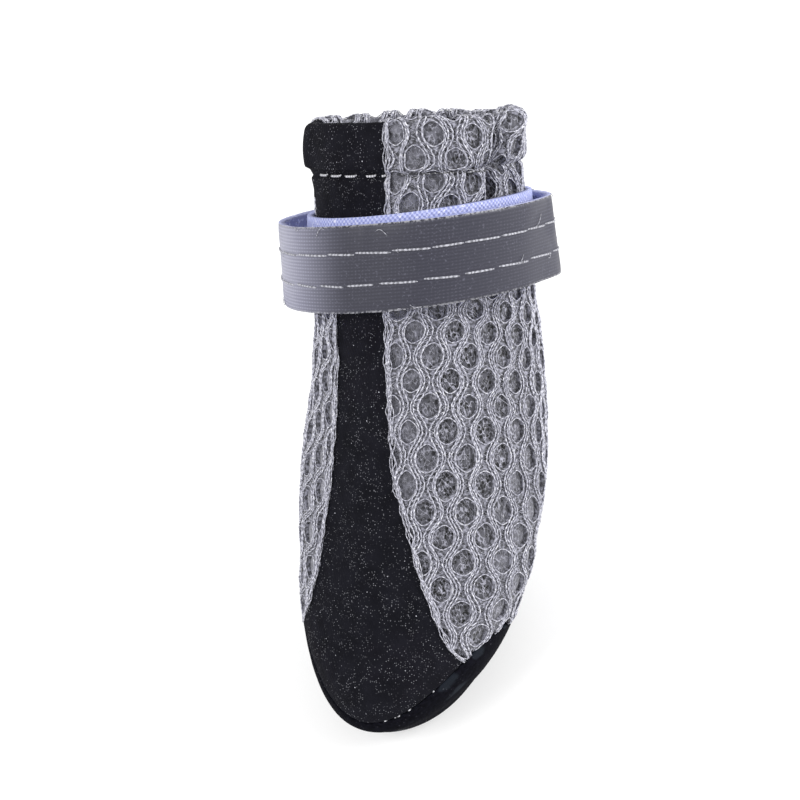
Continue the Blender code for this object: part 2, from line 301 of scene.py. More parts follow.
# Soft folds of the cloth: the place by section number and angle, the half sizes along and across
# the fold in mm, its slant from level in degrees, and its height, which is below 0 for a trough.
Fold = namedtuple("Fold", "number angle along across slant height")
FOLDS = (
    Fold(8.68, 207, 5.0, 4.0, 90, 1.50),
    Fold(8.86, 354, 3.2, 3.4, 90, 1.90),
    Fold(8.52, 339, 7.5, 1.7, 88, -2.80),
    Fold(8.40, 352, 5.0, 3.0, 90, -1.20),
    Fold(8.75, 318, 3.5, 3.0, 90, 0.35),
    Fold(8.15, 336, 5.0, 1.8, 95, -0.80),
    Fold(8.70, 245, 5.0, 6.0, 90, 0.25),
    Fold(8.60, 60, 4.0, 5.0, 80, 0.90),
    Fold(8.70, 120, 5.0, 2.0, 95, -0.80),
    Fold(8.65, 165, 5.0, 3.0, 85, 0.60),
    Fold(6.45, 285, 14.0, 2.2, -6, -0.45),
    Fold(6.05, 320, 9.0, 2.0, 20, -0.35),
    Fold(5.60, 348, 10.0, 2.4, 30, -0.50),
    Fold(5.10, 335, 8.0, 3.0, 18, 0.25),
    Fold(4.30, 345, 12.0, 3.2, 50, -0.45),
    Fold(3.30, 322, 9.0, 2.6, 64, -0.30),
    Fold(2.80, 350, 10.0, 3.4, 10, 0.35),
    Fold(4.00, 262, 14.0, 5.0, 90, 0.30),
    Fold(2.40, 285, 9.0, 3.0, 30, 0.30),
    Fold(1.90, 255, 8.0, 3.0, -30, 0.25),
    Fold(6.10, 232, 9.0, 2.2, -14, -0.50),
    Fold(5.20, 205, 9.0, 3.0, -40, -0.45),
    Fold(3.90, 215, 9.0, 3.2, -62, 0.40),
    Fold(3.00, 200, 9.0, 3.0, -20, -0.40),
    Fold(5.90, 95, 17.0, 2.0, 4, -0.90),
    Fold(5.30, 80, 13.0, 2.4, -5, 0.60),
    Fold(4.75, 100, 16.0, 2.0, 7, -0.80),
    Fold(3.80, 60, 10.0, 3.0, 40, -0.50),
    Fold(3.60, 125, 10.0, 3.0, -40, -0.45),
    Fold(2.60, 90, 12.0, 4.0, 0, 0.40),
    Fold(6.30, 20, 8.0, 2.2, 35, -0.60),
    Fold(5.00, 15, 9.0, 2.4, 55, -0.50),
    Fold(6.20, 165, 8.0, 2.4, -30, -0.60),
)
MM_PER_DEGREE = 0.36
PRESSED_LOW, PRESSED_HIGH, PRESSED_STEP, PRESSED_DEPTH = 6.94, 7.98, 0.12, 0.35
GROOVE_NUMBER, GROOVE_WIDTH, GROOVE_DEPTH = 8.455, 0.036, 1.00
RIM_TUCK, RIM_TUCK_START, RIM_TUCK_STEP = 1.60, 0.010, 0.070


def relief(number, angle):
    """How far folds, the pressed tape, the hem's groove and the tuck at the rim move the cloth."""
    height = np.zeros(np.broadcast(number, angle).shape)
    for fold in FOLDS:
        level = around_from(angle, fold.angle) * MM_PER_DEGREE
        upright = (number - fold.number) * SECTION_STEP
        slant = np.radians(fold.slant)
        along = (level * np.cos(slant) + upright * np.sin(slant)) / fold.along
        across = (upright * np.cos(slant) - level * np.sin(slant)) / fold.across
        height = height + fold.height * np.exp(-(along**2) - across**2)
    over_low = smooth_step((number - PRESSED_LOW) / PRESSED_STEP)
    pressed = over_low * smooth_step((PRESSED_HIGH - number) / PRESSED_STEP)
    height = height * (1 - pressed) - PRESSED_DEPTH * pressed
    height = height - GROOVE_DEPTH * bell(number - GROOVE_NUMBER, GROOVE_WIDTH)
    above_rim = number - rim_number(angle) - RIM_TUCK_START
    return height - RIM_TUCK * (1 - smooth_step(above_rim / RIM_TUCK_STEP))


# How far the collar's edge stands above the last round it: middle and half angle, and mm.
COLLAR_RISES = (
    (300.0, 34.0, 0.75), (240.0, 30.0, 0.45), (110.0, 38.0, 0.70), (180.0, 30.0, 0.50),
    (34.0, 18.0, 1.20), (358.0, 14.0, 1.20),
)
COLLAR_UP = np.array((-0.10, 0.35, 0.93))
COLLAR_START, COLLAR_STEP = 8.46, 0.42

# The cloth is followed by one number that runs up the outside, over the lip and down inside.
# Inside, the folds are read above the hem's groove, which is on the outside alone.
PATH_START, PATH_END, PATH_STEP = 0.40, 10.20, 0.01
ANGLE_STEP = 0.5
ABOVE_GROOVE = 8.55
path_rows = np.arange(PATH_START, PATH_END + PATH_STEP / 2, PATH_STEP)
turn_columns = np.arange(0.0, 360.0, ANGLE_STEP)
path_grid, turn_grid = np.meshgrid(path_rows, turn_columns, indexing="ij")
lip_turn = np.clip((path_grid - LIP_START) / LIP_RISE, 0.0, np.pi)
cloth_number = np.where(path_grid <= LIP_START, path_grid, LIP_START + LIP_RISE * np.sin(lip_turn))
folded_in = path_grid > LIP_END
cloth_number = np.where(folded_in, LIP_START - (path_grid - LIP_END), cloth_number)
lip_offset = LIP_MIDDLE + LIP_HALF * np.cos(lip_turn)
cloth_offset = np.where(path_grid <= LIP_START, hem_bulge(cloth_number), lip_offset)
fold_number = np.where(folded_in, np.maximum(cloth_number, ABOVE_GROOVE), cloth_number)
cloth_offset = cloth_offset + relief(fold_number, turn_grid)
form_points = last_point(cloth_number, turn_grid, cloth_offset)
for middle, spread, rise in COLLAR_RISES:
    share = bell(around_from(turn_grid, middle), spread)
    share = share * smooth_step((cloth_number - COLLAR_START) / COLLAR_STEP)
    form_points += share[..., None] * rise * COLLAR_UP


def unit(vectors):
    return vectors / (np.linalg.norm(vectors, axis=-1, keepdims=True) + 1e-12)


step_up = np.gradient(form_points, axis=0)
step_round = np.roll(form_points, -1, axis=1) - np.roll(form_points, 1, axis=1)
form_normals = unit(np.cross(step_round, step_up))


def table_place(value, start, step, count):
    """Where a value stands in a table of even steps, kept just inside its last row."""
    return np.clip((value - start) / step, 0.0, count - 1.001)


def between(table, row, column):
    """A table read between its rows and columns, the last column followed by the first."""
    low, left = row.astype(int), column.astype(int) % table.shape[1]
    right = (left + 1) % table.shape[1]
    up, side = row - low, column - np.floor(column)
    if table.ndim == 3:
        up, side = up[..., None], side[..., None]
    lower = table[low, left] * (1 - side) + table[low, right] * side
    upper = table[low + 1, left] * (1 - side) + table[low + 1, right] * side
    return lower * (1 - up) + upper * up


def on_grid(table, path, angle):
    row = table_place(path, PATH_START, PATH_STEP, len(path_rows))
    return between(table, row, (angle / ANGLE_STEP) % len(turn_columns))


def surface_normals(path, angle):
    return unit(on_grid(form_normals, path, angle))


def on_form(path, angle, height=0.0):
    """Points on the cloth's surface in mm, raised along its normal by a height."""
    path, angle, height = np.broadcast_arrays(np.asarray(path, float), np.asarray(angle, float), height)
    return on_grid(form_points, path, angle) + surface_normals(path, angle) * height[..., None]


def lay_cloth(name, cells_round, cells_up, place):
    """A grid laid by a function that turns its two shares, across and up, into points in mm."""
    bpy.ops.object.select_all(action="DESELECT")
    bpy.ops.mesh.primitive_grid_add(x_subdivisions=cells_round, y_subdivisions=cells_up, size=1.0)
    piece = bpy.context.object
    piece.name = piece.data.name = name
    flat = np.empty(len(piece.data.vertices) * 3)
    piece.data.vertices.foreach_get("co", flat)
    shares = flat.reshape(-1, 3) + 0.5
    piece.data.vertices.foreach_set("co", (place(shares[:, 0], shares[:, 1]) * MM).ravel())
    piece.data.shade_smooth()
    piece.data.update()
    return piece


MERGE_WITHIN = 0.001 * MM


def close_round(piece):
    """Joins points that lie on each other, as where a grid that goes round meets itself."""
    bpy.context.view_layer.objects.active = piece
    piece.select_set(True)
    bpy.ops.object.mode_set(mode="EDIT")
    bpy.ops.mesh.select_all(action="SELECT")
    bpy.ops.mesh.remove_doubles(threshold=MERGE_WITHIN)
    bpy.ops.object.mode_set(mode="OBJECT")


def thicken(piece, thickness, inner_finish=0, rim_finish=0):
    """Gives a laid cloth its thickness, inwards from the surface that shows."""
    solid = piece.modifiers.new("thickness", "SOLIDIFY")
    solid.thickness = thickness * MM
    solid.offset = -1.0
    solid.material_offset, solid.material_offset_rim = inner_finish, rim_finish
    bpy.ops.object.modifier_apply(modifier=solid.name)


# How high the lining's outside stands from the cloth's face, by the cloth's own number.
LINING_LINE = np.array((
    (0.00, -0.80), (8.90, -0.80), (9.10, -0.80), (9.21, -0.70), (9.35, -0.52), (9.96, -0.52),
    (10.10, 0.0),
))
LINING_TURN = 0.62
LINING_INSIDE_TOP = 8.0
LINING_BELOW_RIM = 0.22


def read_line(line, place):
    """A table of two columns, read at places along its first."""
    return np.interp(place, line[:, 0], line[:, 1])


def lining_place(across, up):
    """Up the outside of the lining, over the lip under the hem, and down its inner face."""
    angle = across * 360.0
    low = rim_number(angle) - LINING_BELOW_RIM
    outside = up < LINING_TURN
    path = low + (LINING_LINE[-1, 0] - low) * up / LINING_TURN
    inside = LINING_INSIDE_TOP + (low - LINING_INSIDE_TOP) * (up - LINING_TURN) / (1 - LINING_TURN)
    height = np.where(outside, read_line(LINING_LINE, path), -WALL)
    return on_form(np.where(outside, path, inside), angle, height)


def loose_fibres(paint, turn, scale):
    """Thin lines of noise that is stretched along one slanting way."""
    values = {0: paint.place(), 2: (0.3, turn, 0.9 * turn), 3: (1.0, 1.0, 0.30)}
    drawn = paint.node("Mapping", {}, values)
    strands = paint.node("TexNoise", {}, {"Vector": drawn, "Scale": scale, "Detail": 1.0})
    return 1 - paint.math("ABSOLUTE", strands - 0.5).rise(0.008, 0.036)


# The knit is darker and more open towards +X, and painted paler towards -X as light from the key lamp
# there.
lining = lay_cloth("upper_lining", 180, 330, lining_place)
close_round(lining)
material, shader, paint = new_finish(
    "grey_close_knit_lining", Roughness=0.85, Specular_IOR_Level=0.25, Sheen_Weight=0.45
)
patch = paint.noise(260.0, 1.0).rise(0.38, 0.66)
hairs = paint.math(
    "MAXIMUM", loose_fibres(paint, 0.6, 1000.0), loose_fibres(paint, -0.7, 1250.0)
)
pores = 1 - paint.cells(1300.0).rise(0.37, 0.46)
to_right = paint.coordinate(0)
deep = to_right.rise(0.004, 0.010) * (1 - to_right.rise(0.0170, 0.0195))
knit = paint.noise(900.0, 2.0).rise(0.3, 0.7).blend(grey(0.080, 1.18), grey(0.165, 1.20))
knit = (deep * 0.55).blend(knit, grey(0.036, 1.20))
# Painted light: the knit is painted paler towards -X, as if lit by the key lamp on that side.
knit = ((to_right * -1.0).rise(0.0, 0.012) * 0.40).blend(knit, grey(0.25, 1.18))
knit = (hairs * (0.26 + patch * 0.24 + deep * 0.20)).blend(knit, grey(0.58, 1.18))
knit = (pores * (0.18 + patch * 0.32 + deep * 0.58) * (1 - hairs * 0.35)).blend(knit, grey(0.002, 1.2))
connect(knit, shader, "Base Color")
connect(paint.bump(hairs - pores, 0.00012, 0.8), shader, "Normal")
lining.data.materials.append(material)
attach(lining, "root")
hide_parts("upper")


# The front panel is black brushed stretch cloth that runs from the hem down the shaft, widens
# over the toes as a cap and is stitched into the rim. It lies a little below the mesh's edge.
# Its edges are given by the cloth's number and the angle.
PANEL_RIGHT = np.array((
    (0.60, 322.0), (1.90, 321.0), (2.10, 319.5), (2.43, 309.8), (2.77, 303.8), (3.05, 300.0),
    (3.50, 294.0), (3.85, 290.2), (4.17, 286.8), (4.65, 280.8), (5.13, 279.0), (5.63, 277.5),
    (6.27, 276.5), (6.75, 275.5), (8.00, 276.5), (8.43, 275.5), (8.70, 274.8), (8.98, 273.5),
    (10.20, 273.5),
))
PANEL_LEFT = np.array((
    (0.60, 212.0), (1.90, 213.0), (2.05, 215.4), (2.62, 227.4), (3.20, 234.2), (3.92, 237.0),
    (4.45, 239.4), (4.97, 240.4), (5.52, 241.2), (6.20, 240.0), (6.72, 239.0), (7.80, 200.0),
    (8.42, 194.0), (8.92, 190.0), (10.20, 190.0),
))
PANEL_UNDER_MESH = 0.3
PANEL_HEIGHT, TOE_CAP_HEIGHT = -0.35, -0.08
TOE_CAP_TOP, TOE_CAP_STEP = 2.75, 0.6
PANEL_THICKNESS = 0.6
PANEL_BELOW_RIM, PANEL_END = 0.25, 9.94


def panel_place(across, up):
    start = RIM_BASE - PANEL_BELOW_RIM
    path = start + (PANEL_END - start) * up
    left = read_line(PANEL_LEFT, path) - PANEL_UNDER_MESH
    right = read_line(PANEL_RIGHT, path) + PANEL_UNDER_MESH
    toe_cap = smooth_step((TOE_CAP_TOP - path) / TOE_CAP_STEP)
    height = PANEL_HEIGHT + (TOE_CAP_HEIGHT - PANEL_HEIGHT) * toe_cap
    return on_form(path, left + (right - left) * across, height)


DIM_SPECKS, BRIGHT_SPECKS = 2900.0, 900.0
panel = lay_cloth("front_panel", 90, 260, panel_place)
thicken(panel, PANEL_THICKNESS)
material, shader, paint = new_finish("black_brushed_stretch", Roughness=0.85, IOR=1.13)
dim = (1 - paint.cells(DIM_SPECKS).rise(0.13, 0.33)) * paint.chance(DIM_SPECKS, 0).rise(0.25, 0.9)
dim = dim * paint.noise(300.0, 3.0).rise(0.32, 0.60)
bright = 1 - paint.cells(BRIGHT_SPECKS).rise(0.05, 0.11)
bright = bright * paint.chance(BRIGHT_SPECKS, 1).rise(0.66, 1.0)
ribs = (paint.coordinate(0) * 1350.0 + paint.coordinate(2) * 900.0).wave()
nap = paint.noise(340.0, 4.0)
cloth = nap.rise(0.15, 0.85).blend(grey(0.0045, 1.45), grey(0.0090, 1.45))
cloth = (dim * 0.75).blend(cloth, grey(0.30, 1.1))
cloth = bright.blend(cloth, grey(0.62, 1.1))
connect(cloth, shader, "Base Color")
connect(paint.bump(ribs * 0.6 + nap * 1.2 + dim, 0.00010, 0.7), shader, "Normal")
panel.data.materials.append(material)
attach(panel, "root")
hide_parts("upper")


# Each side panel is silver warp-knit spacer mesh: chain-stitched yarns that part round staggered
# holes and close between them, over a thinner ground, with a bright yarn looped round each hole.
NET_DIRECTION = np.array((-0.1483, 0.6506, 0.7448))
NET_START = (5.80, 307.6)
BODY_LOW, BODY_HIGH = 1.6, 8.2
GUIDE_COLUMN = 4
# The guide column of holes, by the cloth's number and the angle.
GUIDE_LINE = np.array((
    (1.50, 312.0), (2.91, 312.1), (3.55, 311.4), (4.16, 312.5), (4.81, 313.6), (5.43, 315.9),
    (6.05, 318.6), (6.66, 322.6), (8.00, 330.5), (8.30, 332.7), (8.62, 331.2), (8.90, 330.2),
    (10.20, 330.0),
))
# Lengths in mm up the cloth to the rows of holes, which go on in even steps above and below.
HOLE_ROWS = np.array((
    12.10, 8.47, 4.19, 0.06, -4.38, -8.48, -13.24, -17.77, -22.54, -26.79, -31.26, -35.59, -40.26,
    -44.29,
))
ROWS_ABOVE, ROWS_BELOW = 24, 8
ROW_STEP_ABOVE, ROW_STEP_BELOW = 4.27, 4.45
# The step in mm from column to column of holes, by the length up the cloth.
COLUMN_STEPS = np.array((
    (-46.0, 4.15), (-36.0, 4.05), (-27.0, 3.80), (-18.0, 3.50), (0.0, 3.35), (40.0, 3.35),
))
COLUMNS = range(-8, 30)
CHART_STEP = 0.5
CHART_UPS = np.arange(-62.0, 96.0, CHART_STEP)
CHART_GIRTHS = np.arange(-34.0, 90.0, CHART_STEP)
SIDE_ANGLES = np.arange(255.0, 461.0, 1.0)
CENTRE_BACK = 450.0
MIRROR_TURN = 540.0
EDGE_OVERLAP = 0.40

row_numbers = np.arange(-ROWS_ABOVE, len(HOLE_ROWS) + ROWS_BELOW)
row_heights = np.concatenate((
    HOLE_ROWS[0] + ROW_STEP_ABOVE * np.arange(ROWS_ABOVE, 0, -1),
    HOLE_ROWS,
    HOLE_ROWS[-1] - ROW_STEP_BELOW * np.arange(1, ROWS_BELOW + 1),
))
hole_places = [
    (row, column) for row in row_numbers[2:-2] for column in COLUMNS if (row + column) % 2 == 0
]

NetChart = namedtuple("NetChart", "mirrored path angle front back")


def run_along(points):
    """The length along a line of points, from its first to each of them."""
    steps = np.linalg.norm(np.diff(points, axis=0), axis=1)
    return np.concatenate(((0.0,), np.cumsum(steps)))


def on_side(angle, mirrored):
    """An angle as it is on the right of the photo, or its mirror image on the left."""
    return MIRROR_TURN - angle if mirrored else angle


def net_chart(mirrored, edge_table):
    """The cloth of one side by lengths in mm: up it from the first row, and round it to the back."""
    form_angles = on_side(SIDE_ANGLES, mirrored)
    direction = NET_DIRECTION * ((-1, 1, 1) if mirrored else (1, 1, 1))
    start = on_form(NET_START[0], on_side(NET_START[1], mirrored))
    paths = path_rows[path_rows <= PATH_END]
    body = (paths > BODY_LOW) & (paths < BODY_HIGH)
    path_of_up = np.empty((len(CHART_UPS), len(SIDE_ANGLES)))
    for column, angle in enumerate(form_angles):
        points = on_form(paths, np.full(len(paths), angle))
        level = (points - start) @ direction
        zero_path = np.interp(0.0, level[body], paths[body])
        climb = run_along(points)
        climb = climb - np.interp(zero_path, paths, climb)
        path_of_up[:, column] = np.interp(CHART_UPS, climb, paths)
    shape = (len(CHART_UPS), len(CHART_GIRTHS))
    path_table, angle_table = np.empty(shape), np.empty(shape)
    front, back = np.empty(len(CHART_UPS)), np.empty(len(CHART_UPS))
    for row, row_path in enumerate(path_of_up):
        girth = run_along(on_form(row_path, form_angles))
        guide_angle = np.interp(0.0, SIDE_ANGLES - read_line(GUIDE_LINE, row_path), SIDE_ANGLES)
        girth = girth - np.interp(guide_angle, SIDE_ANGLES, girth)
        angle_table[row] = np.interp(CHART_GIRTHS, girth, SIDE_ANGLES)
        path_table[row] = np.interp(CHART_GIRTHS, girth, row_path)
        edge = on_side(read_line(edge_table, row_path), mirrored)
        front[row] = np.interp(0.0, SIDE_ANGLES - edge, girth) - EDGE_OVERLAP
        back[row] = np.interp(CENTRE_BACK, SIDE_ANGLES, girth)
    return NetChart(mirrored, path_table, angle_table, front, back)


def read_chart(chart, up, girth):
    """The path number and the form's angle at lengths up and round a side."""
    row = table_place(up, CHART_UPS[0], CHART_STEP, len(CHART_UPS))
    column = table_place(girth, CHART_GIRTHS[0], CHART_STEP, len(CHART_GIRTHS))
    return between(chart.path, row, column), on_side(between(chart.angle, row, column), chart.mirrored)


def edges_at(chart, up):
    """The lengths round a side to the net's front edge and to the seam at its back."""
    return np.interp(up, CHART_UPS, chart.front), np.interp(up, CHART_UPS, chart.back)


def make_mesh(name, points, faces, attributes=()):
    """A smooth mesh from points in mm, with numbers stored on its points."""
    mesh = bpy.data.meshes.new(name)
    mesh.from_pydata((points * MM).tolist(), [], faces)
    for label, values in attributes:
        mesh.attributes.new(label, "FLOAT", "POINT").data.foreach_set("value", values)
    mesh.shade_smooth()
    mesh.update()
    piece = bpy.data.objects.new(name, mesh)
    bpy.context.scene.collection.objects.link(piece)
    return piece


class Yarns:
    """Collects tubes of yarn, each an oval ring of points moved along a line on a surface."""

    def __init__(self, sides):
        self.sides = sides
        self.points, self.faces, self.runs, self.yarns, self.slants = [], [], [], [], []
        self.count, self.hand = 0, 1

    def add(self, line, normals, half_width, half_height, yarn, closed=False):
        """Adds one yarn along a line, marked with a number of its own."""
        if closed:
            tangents = np.roll(line, -1, axis=0) - np.roll(line, 1, axis=0)
        else:
            tangents = np.gradient(line, axis=0)
        side = unit(np.cross(normals, unit(tangents)))
        turns = 2 * np.pi * np.arange(self.sides) / self.sides
        wide = np.broadcast_to(half_width, len(line))[:, None, None]
        tall = np.broadcast_to(half_height, len(line))[:, None, None]
        rings = line[:, None] + side[:, None] * np.cos(turns)[None, :, None] * wide
        rings = rings + normals[:, None] * np.sin(turns)[None, :, None] * tall
        count, sides = len(line), self.sides
        for step in range(count if closed else count - 1):
            here, there = self.count + step * sides, self.count + ((step + 1) % count) * sides
            for turn in range(sides):
                after = (turn + 1) % sides
                self.faces.append((here + turn, here + after, there + after, there + turn))
        if not closed:
            self.faces.append(tuple(self.count + turn for turn in reversed(range(sides))))
            self.faces.append(tuple(self.count + (count - 1) * sides + turn for turn in range(sides)))
        self.points.append(rings.reshape(-1, 3))
        self.runs.append(np.repeat(run_along(line), sides))
        self.yarns.append(np.full(count * sides, yarn))
        self.slants.append(np.tile(np.cos(turns) * self.hand, count))
        self.count += count * sides
        self.hand = -self.hand

    def lay(self, path, angle, height, half_width, half_height, yarn, closed=False):
        """Adds one yarn that lies on the cloth at a height."""
        line = on_form(path, angle, height)
        self.add(line, surface_normals(path, angle), half_width, half_height, yarn, closed)

    def piece(self, name):
        stored = (("run", self.runs), ("yarn", self.yarns), ("slant", self.slants))
        attributes = [(label, np.concatenate(values)) for label, values in stored]
        return make_mesh(name, np.concatenate(self.points), self.faces, attributes)


NET_END, NET_LOW = 9.92, 0.10
LEFT_GRAIN = np.radians(25.0)
LEFT_START = (-2.52, -6.55)
EDGE_PUSH, EDGE_PUSH_REACH = 0.70, 2.4


def in_net(path, angle):
    """Whether the net covers a place, from just under the sole's rim to its end inside the hem."""
    return (path < NET_END) & (path > rim_number(angle) - NET_LOW)


def net_lines(chart, row, column):
    """Lengths up and round a side for a row and a column of its holes, cut askew on the left."""
    up = np.interp(row, row_numbers, row_heights)
    girth = (column - GUIDE_COLUMN) * read_line(COLUMN_STEPS, up)
    if chart.mirrored:
        askew = up * np.cos(LEFT_GRAIN) + girth * np.sin(LEFT_GRAIN)
        girth = LEFT_START[1] + girth * np.cos(LEFT_GRAIN) - up * np.sin(LEFT_GRAIN)
        up = LEFT_START[0] + askew
    from_edge = np.maximum(girth - edges_at(chart, up)[0], 0.0)
    return up, girth + EDGE_PUSH * bell(from_edge, EDGE_PUSH_REACH)


# The ground: a hole's half sizes by its column and row, and the rings of points round it, each
# by its share of the way from the hole's rim to its cell's outline and its height.
HOLE_WIDE, HOLE_TALL, SIX_SIDED = 0.54, 0.50, 0.03
HOLE_POINTS = 24
HEXAGON = np.array(((1, -1 / 3), (0, -2 / 3), (-1, -1 / 3), (-1, 1 / 3), (0, 2 / 3), (1, 1 / 3)))
OUTLINE_STRETCH = 1.22
GROUND_RINGS = ((1.0, -0.22), (0.45, -0.16), (0.0, -0.22), (-0.03, -0.46), (-0.04, -0.76))
FOLD_SKIRT, FOLD_START = 0.30, 0.1
SLIVER = 0.002 * MM


def ground_points(path, angle, height):
    """Points of the ground at a height, which is kept shallow where the net is folded inside."""
    path = np.minimum(path, NET_END)
    height = np.where(path > LIP_END - FOLD_START, np.maximum(height, -FOLD_SKIRT), height)
    return on_form(path, angle, height)


def make_ground(name, chart):
    """The ground sheet: six-sided cells that share their corners, each with an oval hole."""
    corners = np.vstack((HEXAGON, HEXAGON[:1]))
    side_points = HOLE_POINTS // len(HEXAGON)
    share = np.arange(side_points)[:, None] / side_points
    outline = np.concatenate([
        start + (end - start) * share for start, end in zip(corners[:-1], corners[1:])
    ])
    turn = np.arctan2(outline[:, 1] * OUTLINE_STRETCH, outline[:, 0])
    six_sided = 1 - SIX_SIDED * np.cos(6 * turn)
    rim = np.stack((HOLE_WIDE * six_sided * np.cos(turn), HOLE_TALL * six_sided * np.sin(turn)), 1)
    points, faces, count = [], [], 0
    for row, column in hole_places:
        cell, beyond = [], []
        for part, height in GROUND_RINGS:
            local = rim + (outline - rim) * part
            up, girth = net_lines(chart, row + local[:, 1], column + local[:, 0])
            front, back = edges_at(chart, up)
            path, angle = read_chart(chart, up, np.clip(girth, front, back))
            beyond.append((girth <= front) | (girth >= back) | ~in_net(path, angle))
            cell.append(ground_points(path, angle, height))
        beyond = np.array(beyond)
        if beyond.all():
            continue
        for ring in range(len(GROUND_RINGS) - 1):
            here, there = count + ring * HOLE_POINTS, count + (ring + 1) * HOLE_POINTS
            for step in range(HOLE_POINTS):
                after = (step + 1) % HOLE_POINTS
                if beyond[ring:ring + 2, (step, after)].all():
                    continue
                face = (here + step, there + step, there + after, here + after)
                faces.append(face if chart.mirrored else face[::-1])
        points.append(np.concatenate(cell))
        count += HOLE_POINTS * len(GROUND_RINGS)
    piece = make_mesh(name, np.concatenate(points), faces)
    close_round(piece)
    bpy.ops.object.mode_set(mode="EDIT")
    bpy.ops.mesh.select_all(action="SELECT")
    bpy.ops.mesh.dissolve_degenerate(threshold=SLIVER)
    bpy.ops.mesh.delete_loose()
    bpy.ops.object.mode_set(mode="OBJECT")
    piece.select_set(False)
    return piece


# The yarns: how far each of a strip's three stands from its column, in column steps, beside a
# hole and between holes. Links zigzag across the strip, and where it closes to the next one.
STRANDS = ((0.62, 0.13), (0.745, 0.255), (0.87, 0.38))
STRANDS_LOW, STRANDS_HIGH, STRAND_STEP = -66.0, 94.0, 0.45
STRAND_HALF_WIDTH, STRAND_HALF_HEIGHT = 0.130, 0.14
SHORTEST_STRAND = 5
END_SUNK, END_TURNED = 0.35, 0.10
LOOP_LENGTH, LOOP_THIN, LOOP_SWELL = 1.05, 0.80, 0.32
YARN_WANDER, YARN_WANDER_MOST, YARN_WOBBLE = 0.030, 0.20, 0.05
YARN_HEIGHT, YARN_SWING, YARN_ROUGH = 0.07, 0.05, 0.04
EDGE_REACH, EDGE_HELD, EDGE_RAGGED, SEAM_GAP = 1.9, 0.22, 0.55, 0.25
LINK_STEP, LINK_HALF, LINK_HEIGHT, LINK_SWAY = 0.50, 0.085, 0.02, 0.03
LINK_EDGE, LINK_OVER_EDGE = 0.4, 0.3
CLOSE_REACH, CLOSE_SWING, ANY_SWING = 0.19, -0.25, 2.0
# The yarns that bind the front edge, by their distance from it and their height.
EDGE_YARNS = ((0.05, 0.0), (0.26, 0.10), (0.50, 0.14), (0.78, 0.08))
EDGE_THICK, EDGE_WAVE, EDGE_WAVE_LENGTH, EDGE_ROUGH = 0.70, 0.20, 4.3, 0.18
random = np.random.default_rng(41)


def rows_at(ups):
    """The row numbers at lengths up the cloth, counted downwards."""
    return np.interp(-ups, -row_heights, row_numbers)


def strand_across(wide, close, swing):
    return (wide + close) / 2 + (wide - close) / 2 * swing


def add_strand(yarns, path, angle, height, keep, thick=1.0, link=False):
    """Adds the kept stretches of one strand, their ends turned down into the cloth."""
    edges = np.flatnonzero(np.diff(np.concatenate(((0,), keep.astype(int), (0,)))))
    for start, end in zip(edges[::2], edges[1::2]):
        if end - start < SHORTEST_STRAND:
            continue
        stretch = slice(start, end)
        sunk = height[stretch].copy()
        sunk[[0, -1]] -= END_SUNK
        sunk[[1, -2]] -= END_TURNED
        loops = np.abs(np.sin(np.pi * (np.arange(end - start) * STRAND_STEP / LOOP_LENGTH)))
        wide, tall = LINK_HALF, LINK_HALF
        if not link:
            wide = STRAND_HALF_WIDTH * thick * (LOOP_THIN + LOOP_SWELL * loops)
            tall = STRAND_HALF_HEIGHT * thick
        yarns.lay(path[stretch], angle[stretch], sunk, wide, tall, random.random())


def make_strands(name, chart):
    """Three chain-stitched yarns to each strip between columns of holes, and the front edge's."""
    yarns = Yarns(4)
    ups = np.arange(STRANDS_LOW, STRANDS_HIGH, STRAND_STEP)
    rows = rows_at(ups)
    for column in COLUMNS:
        for wide, close in STRANDS:
            across = strand_across(wide, close, np.cos(np.pi * (rows + column)))
            wander = np.cumsum(random.normal(0.0, YARN_WANDER, len(ups)))
            wander -= np.linspace(wander[0], wander[-1], len(ups))
            wobble = YARN_WOBBLE * np.sin(2 * np.pi * ups / LOOP_LENGTH + random.random() * 6)
            here, girth = net_lines(chart, rows, column + across)
            girth = girth + np.clip(wander, -YARN_WANDER_MOST, YARN_WANDER_MOST) + wobble
            front, back = edges_at(chart, here)
            held = front + EDGE_HELD + EDGE_RAGGED * random.random()
            keep = (girth > held - EDGE_REACH) & (girth < back - SEAM_GAP)
            path, angle = read_chart(chart, here, np.maximum(girth, held))
            height = YARN_HEIGHT + YARN_SWING * np.cos(2 * np.pi * rows + column)
            height = height + YARN_ROUGH * random.normal(size=len(ups))
            add_strand(yarns, path, angle, height, keep & in_net(path, angle))
    rows = rows_at(np.arange(STRANDS_LOW, STRANDS_HIGH, LINK_STEP))
    zigzag = np.arange(len(rows)) % 2
    for column in COLUMNS:
        swing = np.cos(np.pi * (rows + column))
        first, last = strand_across(*STRANDS[0], swing), strand_across(*STRANDS[-1], swing)
        for near, far, most in ((first, last, ANY_SWING), (-CLOSE_REACH, CLOSE_REACH, CLOSE_SWING)):
            across = np.where(zigzag, near, far) + random.normal(0.0, LINK_SWAY, len(rows))
            here, girth = net_lines(chart, rows, column + across)
            front, back = edges_at(chart, here)
            front = front + LINK_EDGE
            keep = (swing < most) & (girth > front - LINK_OVER_EDGE) & (girth < back - SEAM_GAP)
            path, angle = read_chart(chart, here, np.maximum(girth, front))
            height = LINK_HEIGHT + YARN_ROUGH * random.normal(size=len(rows))
            add_strand(yarns, path, angle, height, keep & in_net(path, angle), link=True)
    front = edges_at(chart, ups)[0]
    for inset, level in EDGE_YARNS:
        bulge = EDGE_WAVE * np.sin(2 * np.pi * ups / EDGE_WAVE_LENGTH + inset * 5)
        bulge = bulge + EDGE_ROUGH * random.normal(size=len(ups))
        bulge = np.convolve(bulge, np.ones(3) / 3, "same")
        path, angle = read_chart(chart, ups, front + inset + bulge)
        add_strand(yarns, path, angle, np.full(len(ups), level), in_net(path, angle), EDGE_THICK)
    return yarns.piece(name)


